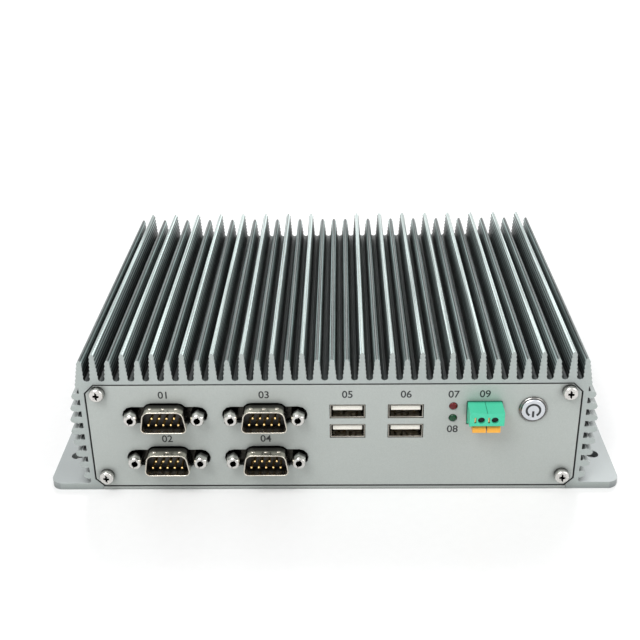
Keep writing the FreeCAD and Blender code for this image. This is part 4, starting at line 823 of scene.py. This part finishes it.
def make_display_sockets():
    """Round contact sockets in the blue face of the display port."""
    x, z = centre_of("display_shell")
    face = ends_of("display_shell", 1)[1] - CONTACT_RECESS
    bore, rim, root = 0.42, 0.72, -1.5
    eyelet = [(bore, root), (bore, -0.02), (bore + 0.08, 0.05), (rim - 0.06, 0.05), (rim, -0.02),
              (rim, root), (bore, root)]
    rims = bmesh.new()
    shade_discs = bmesh.new()
    for row in (-1, 0, 1):
        for column in range(-2, 3):
            place = (x + CONTACT_PITCH * (column + row / 4), face, z + CONTACT_ROW_PITCH * row)
            add_part(rims, turned(eyelet, 20), place, 1)
            # A disc of painted shade down each bore
            add_part(shade_discs, disc(bore + 0.01, -0.35, 20), place, 1)
    make_piece("display_socket_rims", rims, "blue")
    make_piece("display_socket_shade_discs", shade_discs, "hole_shade")


# --- Front controls ---

# Spring plug: the middle between its two wires, their pitch and height, and the probe slots
WIRES_MIDDLE, WIRE_PITCH, WIRE_HEIGHT = 56.9 * MM, 4.95 * MM, 36.15 * MM
PROBE_OFFSET, PROBE_DEPTH = 2.3 * MM, 0.5 * MM
PROBE_SPRING = (0.7 * MM, 2.4 * MM, 0.1 * MM)
# Power sign: its radius as a share of the cap's, the gap in its ring, and how much bolder it is
SIGN_SHARE, SIGN_GAP, SIGN_WEIGHT = 0.56, math.radians(64), 1.9


def face_place(node, outward):
    """The middle of a CAD node, at the face of its panel."""
    x, z = centre_of(node)
    return x, PANEL_FACE[outward], z


def make_round(node, profile, places, outward, replace=True, steps=40, suffix="turned"):
    """Turned pieces in a CAD node's finish, which mostly stand for that node."""
    bm = bmesh.new()
    for place in places:
        add_part(bm, turned(profile, steps), place, outward)
    make_piece(f"{node}_{suffix}", bm, NODE_FINISH[node], body_of(node), [node] if replace else [], 40)


def make_lights():
    """The domed lenses of the two indicator lights."""
    root = -4.0
    for node in ("storage_light", "power_light"):
        radius, reach = radius_of(node), reach_of(node, -1)
        dome = [(radius * math.cos(turn), reach * math.sin(turn))
                for turn in (math.radians(degrees) for degrees in range(75, -1, -15))]
        profile = [(0, reach), *dome, (radius, root), (0, root)]
        make_round(node, profile, [face_place(node, -1)], -1)


def make_plug_holes():
    """Discs of painted shade deep in the wire holes, and the brass seen in the probe slots."""
    face = ends_of("switch_plug", -1)[1]
    holes = bmesh.new()
    slots = bmesh.new()
    for side in (-1, 1):
        x = WIRES_MIDDLE + WIRE_PITCH / 2 * side
        add_part(holes, disc(1.31, -1.0), (x, face, WIRE_HEIGHT), -1)
        add_part(slots, bar(*PROBE_SPRING), (x - PROBE_OFFSET, face + PROBE_DEPTH, WIRE_HEIGHT), -1)
    make_piece("plug_hole_shade_discs", holes, "hole_shade")
    make_piece("plug_probe_springs", slots, "gilt")


def make_button(sizes):
    """The power button: a bezel with eased rims round a crowned cap."""
    places = [face_place("power_button_ring", -1)]
    radius, reach = radius_of("power_button_ring"), reach_of("power_button_ring", -1)
    cap, face = radius_of("power_button_cap"), reach_of("power_button_cap", -1)
    bore, thread, root = cap + 0.15, radius - 0.4, -8.0
    ring = [(bore, root), (bore, reach - 0.15), (bore + 0.12, reach), (radius - 0.25, reach),
            (radius, reach - 0.25), (radius, 0), (thread, 0), (thread, root), (bore, root)]
    make_round("power_button_ring", ring, places, -1, steps=64)
    cap_root = -4.0
    crown = [(0, face - 0.05), (cap * 0.6, face - 0.03), (cap - 0.5, face), (cap - 0.22, face - 0.04),
             (cap, face - 0.3), (cap, cap_root), (0, cap_root)]
    make_round("power_button_cap", crown, places, -1, steps=64)
    draw_power_sign(cap * SIGN_SHARE * MM, sizes)


def draw_power_sign(radius, sizes):
    """The sign on the button's cap: a ring with a gap, and a bar in the gap."""
    x, z = centre_of("power_button_ring")
    face = ends_of("power_button_cap", -1)[1]
    line = sizes.symbol_line * SIGN_WEIGHT
    bm = bmesh.new()
    ring = arc(radius, line, sizes.ink, SIGN_GAP / 2 - math.tau / 4, math.tau - SIGN_GAP)
    add_part(bm, ring, (x, face, z), -1)
    add_part(bm, bar(line, radius * 1.05, sizes.ink), (x, face, z - radius * 0.65), -1)
    make_piece("power_symbol", bm, "ink", body_of("power_button_cap"))


# --- Print ---

# Height of a digit as a share of the font's size, and how much its lines are thickened
DIGIT_SHARE, DIGIT_WEIGHT = 0.69, 0.02
# Each number with the middle of its place, across and up in millimetres
FRONT_NUMBERS = [("01", -62.9, 42.4), ("02", -62.9, 23.2), ("03", -25.4, 42.4), ("04", -25.4, 23.2),
                 ("05", 5.6, 42.4), ("06", 27.35, 42.4), ("07", 44.95, 42.3), ("08", 44.95, 27.2),
                 ("09", 56.5, 42.4)]
REAR_NUMBERS = [("10", 67.8, 42.9), ("11", 53.0, 42.8), ("12", 34.9, 42.8), ("13", 17.3, 42.5),
                ("14", 1.4, 42.4), ("15", -21.8, 42.5), ("16", -64.2, 42.9), ("17", 75.0, 18.2),
                ("18", 45.2, 18.2)]
# Signs beside the supply terminal: their middles and strokes
PLUS, MINUS, POLE_STROKE = (-61.0 * MM, REAR, 19.6 * MM), (-67.9 * MM, REAR, 19.6 * MM), 2.2 * MM
EARTH, EARTH_RADIUS = Vector((-73.1 * MM, REAR, 12.4 * MM)), 2.4 * MM
EARTH_STEM, EARTH_RISE = 1.6 * MM, 0.9 * MM
EARTH_BARS = {-0.1 * MM: 2.6 * MM, -0.7 * MM: 1.7 * MM, -1.3 * MM: 0.8 * MM}


def print_text(bm, text, place, outward, sizes):
    """A printed number, made a mesh and laid on the panel."""
    curve = bpy.data.curves.new("number", "FONT")
    curve.body = text
    curve.size = sizes.number_height / DIGIT_SHARE
    curve.align_x = "CENTER"
    curve.align_y = "CENTER"
    curve.extrude = sizes.ink / 2
    curve.offset = sizes.number_height * DIGIT_WEIGHT
    holder = bpy.data.objects.new("number", curve)
    mesh = bpy.data.meshes.new_from_object(holder)
    mesh.transform(Matrix.Translation(place) @ facing(outward))
    bm.from_mesh(mesh)
    bpy.data.objects.remove(holder)
    bpy.data.curves.remove(curve)
    bpy.data.meshes.remove(mesh)


def make_print(sizes):
    """The numbers on both panels, and the signs on the rear one."""
    for name, numbers, outward in (("front_numbers", FRONT_NUMBERS, -1),
                                   ("rear_numbers", REAR_NUMBERS, 1)):
        depth = PANEL_FACE[outward] + sizes.ink / 2 * outward
        bm = bmesh.new()
        for text, x, z in numbers:
            print_text(bm, text, (x * MM, depth, z * MM), outward, sizes)
        bmesh.ops.remove_doubles(bm, verts=bm.verts, dist=SAME_PLACE / 5)
        if outward > 0:
            draw_rear_signs(bm, sizes.symbol_line, sizes.ink)
        make_piece(name, bm, "ink")


def draw_rear_signs(bm, line, ink):
    """The signs beside the supply terminal: plus, minus and earth in a ring."""
    add_part(bm, bar(POLE_STROKE, line, ink), PLUS, 1)
    add_part(bm, bar(line, POLE_STROKE, ink), PLUS, 1)
    add_part(bm, bar(POLE_STROKE, line, ink), MINUS, 1)
    add_part(bm, arc(EARTH_RADIUS, line * 0.8, ink), EARTH, 1)
    add_part(bm, bar(line * 0.8, EARTH_STEM, ink), EARTH + Vector((0, 0, EARTH_RISE)), 1)
    for rise, width in EARTH_BARS.items():
        add_part(bm, bar(width, line * 0.7, ink), EARTH + Vector((0, 0, rise)), 1)


# --- Rear pieces ---

SUPPLY_HOLE_OFFSET, SUPPLY_HOLE_HEIGHT = 10.1 * MM, 35.7 * MM
NETWORK_LIGHT_OFFSET, NETWORK_LIGHT_WIDTH = 5.45 * MM, 3.16 * MM
NETWORK_LIGHTS = {"network_link_lights": ("link_lens", 1, ["network_lights"]),
                  "network_speed_lights": ("amber_lens", -1, [])}


def pair_places(node):
    """The middles of a CAD node's two round pieces, at the face of the rear panel."""
    low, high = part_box(node)
    radius = radius_of(node) * MM
    return [(x, REAR, low.z + radius) for x in (low.x + radius, high.x - radius)]


def make_antenna_plugs():
    """The domed plugs of the two antenna holes."""
    reach, edge = reach_of("antenna_hole_plugs", 1), radius_of("antenna_hole_plugs")
    neck, root = edge - 0.5, -2.0
    profile = [(0, reach), (edge * 0.35, reach * 0.97), (edge * 0.7, reach * 0.82),
               (edge * 0.9, reach * 0.55), (edge, reach * 0.2), (edge, 0), (neck, 0), (neck, root),
               (0, root)]
    make_round("antenna_hole_plugs", profile, pair_places("antenna_hole_plugs"), 1)


def make_audio_jack():
    """The audio jack: a metal sleeve in a moulded collar."""
    places = [face_place("audio_jack_sleeve", 1)]
    face, rim, root = reach_of("audio_jack_body", 1), 3.45, -6.0
    sleeve, sleeve_face = radius_of("audio_jack_sleeve"), reach_of("audio_jack_sleeve", 1)
    collar = [(sleeve, root), (sleeve, face - 0.2), (sleeve + 0.2, face), (rim - 0.35, face),
              (rim, face - 0.35), (rim, -1.8), (sleeve, root)]
    make_round("audio_jack_body", collar, places, 1, replace=False, suffix="collar")
    bore, sleeve_root = 1.8, -9.0
    tube = [(bore, sleeve_root), (bore, sleeve_face - 0.3), (bore + 0.25, sleeve_face),
            (sleeve, sleeve_face), (sleeve, sleeve_root), (bore, sleeve_root)]
    make_round("audio_jack_sleeve", tube, places, 1)


def make_supply_inserts():
    """The two brass inserts that take the screws of the supply plug."""
    outer, face = radius_of("supply_inserts"), reach_of("supply_inserts", 1)
    bore, root, chamfer = 1.0, face - 7.0, 0.2
    rim = face - 0.05
    profile = [(bore, root), (bore, rim - chamfer), (bore + chamfer, rim), (outer - chamfer, rim),
               (outer, rim - chamfer), (outer, root), (bore, root)]
    make_round("supply_inserts", profile, pair_places("supply_inserts"), 1)


def make_supply_hole_shade():
    """Discs of painted shade deep in the two round holes of the supply terminal."""
    x = centre_of("supply_terminal")[0]
    face = ends_of("supply_terminal", 1)[1]
    bm = bmesh.new()
    for side in (-1, 1):
        add_part(bm, disc(2.58, -2.4), (x + SUPPLY_HOLE_OFFSET * side, face, SUPPLY_HOLE_HEIGHT), 1)
    make_piece("supply_hole_shade_discs", bm, "hole_shade")


def make_ground_screw(sizes):
    """The earth screw on its washer."""
    x, z = centre_of("ground_washer")
    radius, sheet = radius_of("ground_washer"), reach_of("ground_washer", 1)
    bore, chamfer = 1.65, 0.15
    profile = [(bore, 0), (bore, sheet), (radius - chamfer, sheet), (radius, sheet - chamfer),
               (radius, 0), (bore, 0)]
    make_round("ground_washer", profile, [(x, REAR, z)], 1)
    bm = bmesh.new()
    height = (reach_of("ground_screw", 1) - sheet) * MM
    add_part(bm, screw_head(sizes.screw_head, height, sizes.cross), (x, REAR + sheet * MM, z), 1)
    make_piece("ground_screw_head", bm, "plated", "chassis", ["ground_screw"], 40)


def make_network_lights():
    """A green light low on the left and a yellow one low on the right of each network socket."""
    low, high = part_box("network_lights")
    size = (NETWORK_LIGHT_WIDTH, high.y - low.y - 0.02 * MM, high.z - low.z - 0.04 * MM, 1.0)
    for name, (finish, side, replaced) in NETWORK_LIGHTS.items():
        bm = bmesh.new()
        for shell in ("network_shell_1", "network_shell_2"):
            x = centre_of(shell)[0] + NETWORK_LIGHT_OFFSET * side
            made = bmesh.ops.create_cube(bm, size=1.0)
            place = Matrix.Translation((x, (low.y + high.y) / 2, (low.z + high.z) / 2))
            bmesh.ops.transform(bm, matrix=place @ Matrix.Diagonal(size), verts=made["verts"])
        ease_edges(bm, sharp_edges(bm), 0.15 * MM)
        make_piece(name, bm, finish, "chassis", replaced)


# --- Stage ---

# Each lamp's place, aim, share of the key light's power and size
LAMPS = {
    "key_lamp": ((-0.35, -0.55, 0.8), (0, 0, 0.02), 1.0, (0.5, 0.5)),
    "fill_lamp": ((0.7, -0.35, 0.5), (0, 0, 0.02), 0.4, (0.7, 0.5)),
    "back_lamp": ((0.1, 0.75, 0.7), (0, 0, 0.03), 0.8, (0.9, 0.4)),
}
# The floor glows a little for the camera, and more between these distances from the computer
FLOOR_SIZE, FLOOR_GLOW = 6.0, 0.03
FAR_START, FAR_END, FAR_GLOW = 0.35, 1.5, 0.45


def make_camera(stage):
    """The camera, from its place and its three angles."""
    camera = bpy.data.cameras.new("camera")
    camera.lens = stage.lens
    camera.sensor_width = 36.0
    holder = bpy.data.objects.new("camera", camera)
    bpy.context.scene.collection.objects.link(holder)
    back = Vector((math.sin(stage.turn) * math.cos(stage.tilt),
                   -math.cos(stage.turn) * math.cos(stage.tilt), math.sin(stage.tilt)))
    right = Vector((math.cos(stage.turn), math.sin(stage.turn), 0))
    up = back.cross(right)
    rolled_right = right * math.cos(stage.roll) + up * math.sin(stage.roll)
    rolled_up = up * math.cos(stage.roll) - right * math.sin(stage.roll)
    holder.matrix_world = Matrix((rolled_right, rolled_up, back)).transposed().to_4x4()
    holder.matrix_world.translation = Vector(stage.camera_place)
    bpy.context.scene.camera = holder


def make_lamp(name, place, target, power, size):
    """A rectangular lamp that points at a target."""
    lamp = bpy.data.lights.new(name, "AREA")
    lamp.shape = "RECTANGLE"
    lamp.size, lamp.size_y = size
    lamp.energy = power
    holder = bpy.data.objects.new(name, lamp)
    bpy.context.scene.collection.objects.link(holder)
    direction = Vector(target) - Vector(place)
    holder.matrix_world = direction.to_track_quat("-Z", "Y").to_matrix().to_4x4()
    holder.matrix_world.translation = Vector(place)


def camera_share(nodes, links):
    """1 where the camera, a mirror or glass looks, and 0 for light."""
    path = nodes.new("ShaderNodeLightPath")
    total = path.outputs["Is Camera Ray"]
    for other in ("Is Glossy Ray", "Is Transmission Ray"):
        node = nodes.new("ShaderNodeMath")
        node.operation = "MAXIMUM"
        links.new(total, node.inputs[0])
        links.new(path.outputs[other], node.inputs[1])
        total = node.outputs["Value"]
    return total


def make_world(stage):
    """White walls all round, dimmer as a light than they look."""
    world = bpy.data.worlds.new("studio")
    bpy.context.scene.world = world
    world.use_nodes = True
    nodes, links = world.node_tree.nodes, world.node_tree.links
    background = nodes["Background"]
    background.inputs["Color"].default_value = (*grey(1.0), 1.0)
    strength = nodes.new("ShaderNodeMapRange")
    strength.inputs["To Min"].default_value = stage.ambient
    strength.inputs["To Max"].default_value = 1.0
    links.new(camera_share(nodes, links), strength.inputs["Value"])
    links.new(strength.outputs["Result"], background.inputs["Strength"])


def make_floor():
    """A white floor that fades into the walls."""
    bpy.ops.mesh.primitive_plane_add(size=FLOOR_SIZE, location=(0, 0, 0))
    floor = bpy.context.object
    floor.name = "studio_floor"
    surface = Surface("studio_floor", roughness=0.28, specular=0.3)
    surface.colour(surface.mottle(surface.noise(300, 2.0), grey(0.84), grey(0.85)))
    surface.shader.inputs["Emission Color"].default_value = (*grey(1.0), 1.0)
    away = surface.add("ShaderNodeVectorMath", {"Vector": surface.place}, operation="LENGTH")
    far = surface.between(away.outputs["Value"], FAR_START, FAR_END)
    glow = surface.calculate("ADD", surface.calculate("MULTIPLY", far, FAR_GLOW), FLOOR_GLOW)
    seen = surface.calculate("MULTIPLY", glow, camera_share(surface.nodes, surface.links))
    surface.links.new(seen, surface.shader.inputs["Emission Strength"])
    floor.data.materials.append(surface.material)


# --- Operators ---

class DressNodes(bpy.types.Operator):
    """Give every solid of the frame its finish"""

    bl_idname = "computer.dress_nodes"
    bl_label = "Dress Frame Solids"

    def execute(self, context):
        make_materials(context.scene.computer_finish)
        for node, piece in frame["nodes"].items():
            coat(piece, NODE_FINISH[node])
        return {"FINISHED"}


class FinishHousing(bpy.types.Operator):
    """Ease the edges of the extrusion and the panels, and add the panel screws"""

    bl_idname = "computer.finish_housing"
    bl_label = "Finish Housing and Panels"

    def execute(self, context):
        sizes = context.scene.computer_sizes
        ease_housing()
        ease_node("front_panel", sizes.edge)
        ease_node("rear_panel", sizes.edge)
        make_panel_screws(sizes)
        return {"FINISHED"}


class FinishPorts(bpy.types.Operator):
    """Make the drawn shells, pins and jackscrews of the D-shaped ports"""

    bl_idname = "computer.finish_ports"
    bl_label = "Finish D-shaped Ports"

    def execute(self, context):
        sizes = context.scene.computer_sizes
        for shell in SERIAL_SHELLS:
            make_d_shell(shell, SERIAL_MOUTH, -1, sizes)
        make_d_shell("display_shell", DISPLAY_MOUTH, 1, sizes)
        make_pins(sizes)
        make_jackscrews("serial_jackscrews", SERIAL_SHELLS, -1)
        make_jackscrews("display_jackscrews", ["display_shell"], 1)
        make_display_sockets()
        return {"FINISHED"}


class FinishSockets(bpy.types.Operator):
    """Ease the sheet metal and plastic of the rectangular sockets"""

    bl_idname = "computer.finish_sockets"
    bl_label = "Finish Sockets"

    def execute(self, context):
        for node in ("front_data_1_shell", "front_data_2_shell", "rear_data_shell"):
            ease_node(node, SHEET_EDGE)
        for node in ("front_data_1_tongues", "front_data_2_tongues", "rear_data_upper_tongue",
                     "rear_data_lower_tongue", "screen_socket_shell", "network_shell_1", "network_shell_2"):
            ease_node(node, MOULDED_EDGE)
        make_network_lights()
        return {"FINISHED"}


class FinishControls(bpy.types.Operator):
    """Make the lights, the spring plug and the power button"""

    bl_idname = "computer.finish_controls"
    bl_label = "Finish Front Controls"

    def execute(self, context):
        sizes = context.scene.computer_sizes
        make_lights()
        make_plug_holes()
        make_button(sizes)
        ease_node("switch_plug", SHEET_EDGE)
        for node in ("switch_release_1", "switch_release_2"):
            ease_node(node, LEVER_EDGE)
        return {"FINISHED"}


class FinishRear(bpy.types.Operator):
    """Make the rear's audio jack, hole plugs, supply terminal and earth screw"""

    bl_idname = "computer.finish_rear"
    bl_label = "Finish Rear"

    def execute(self, context):
        make_antenna_plugs()
        make_audio_jack()
        ease_node("supply_terminal", TERMINAL_EDGE)
        make_supply_inserts()
        make_supply_hole_shade()
        make_ground_screw(context.scene.computer_sizes)
        return {"FINISHED"}


class PrintPanels(bpy.types.Operator):
    """Print plain numbers and signs on both panels"""

    bl_idname = "computer.print_panels"
    bl_label = "Print Panels"

    def execute(self, context):
        make_print(context.scene.computer_sizes)
        return {"FINISHED"}


class BuildStage(bpy.types.Operator):
    """Set up the camera, the floor and the lamps"""

    bl_idname = "computer.build_stage"
    bl_label = "Build Stage"

    def execute(self, context):
        context.scene.view_settings.view_transform = "Standard"
        stage = context.scene.computer_stage
        make_camera(stage)
        make_world(stage)
        make_floor()
        for name, (place, aim, share, size) in LAMPS.items():
            make_lamp(name, place, aim, stage.key_power * share, size)
        return {"FINISHED"}


STEPS = [DressNodes, FinishHousing, FinishPorts, FinishSockets, FinishControls, FinishRear, PrintPanels,
         BuildStage]


class ComputerPanel(bpy.types.Panel):
    """Lists the settings and the steps that dress the computer."""

    bl_idname = "VIEW3D_PT_computer"
    bl_label = "Fanless Computer"
    bl_space_type = "VIEW_3D"
    bl_region_type = "UI"
    bl_category = "Computer"

    def draw(self, context):
        scene = context.scene
        for group in (scene.computer_finish, scene.computer_sizes, scene.computer_stage):
            box = self.layout.box()
            for setting in group.__annotations__:
                box.prop(group, setting)
        for step in STEPS:
            self.layout.operator(step.bl_idname)


CLASSES = [ComputerFinish, ComputerSizes, ComputerStage, *STEPS, ComputerPanel]
GROUPS = {"computer_finish": ComputerFinish, "computer_sizes": ComputerSizes,
          "computer_stage": ComputerStage}


def register():
    """Register the classes and give the scene its settings."""
    for cls in CLASSES:
        bpy.utils.register_class(cls)
    for name, group in GROUPS.items():
        setattr(bpy.types.Scene, name, bpy.props.PointerProperty(type=group))


def unregister():
    """Take the settings and the classes away again."""
    for name in GROUPS:
        delattr(bpy.types.Scene, name)
    for cls in reversed(CLASSES):
        bpy.utils.unregister_class(cls)


def main():
    """Dress the computer step by step."""
    register()
    for step in STEPS:
        group, name = step.bl_idname.split(".")
        getattr(getattr(bpy.ops, group), name)()


if __name__ == "__main__":
    main()
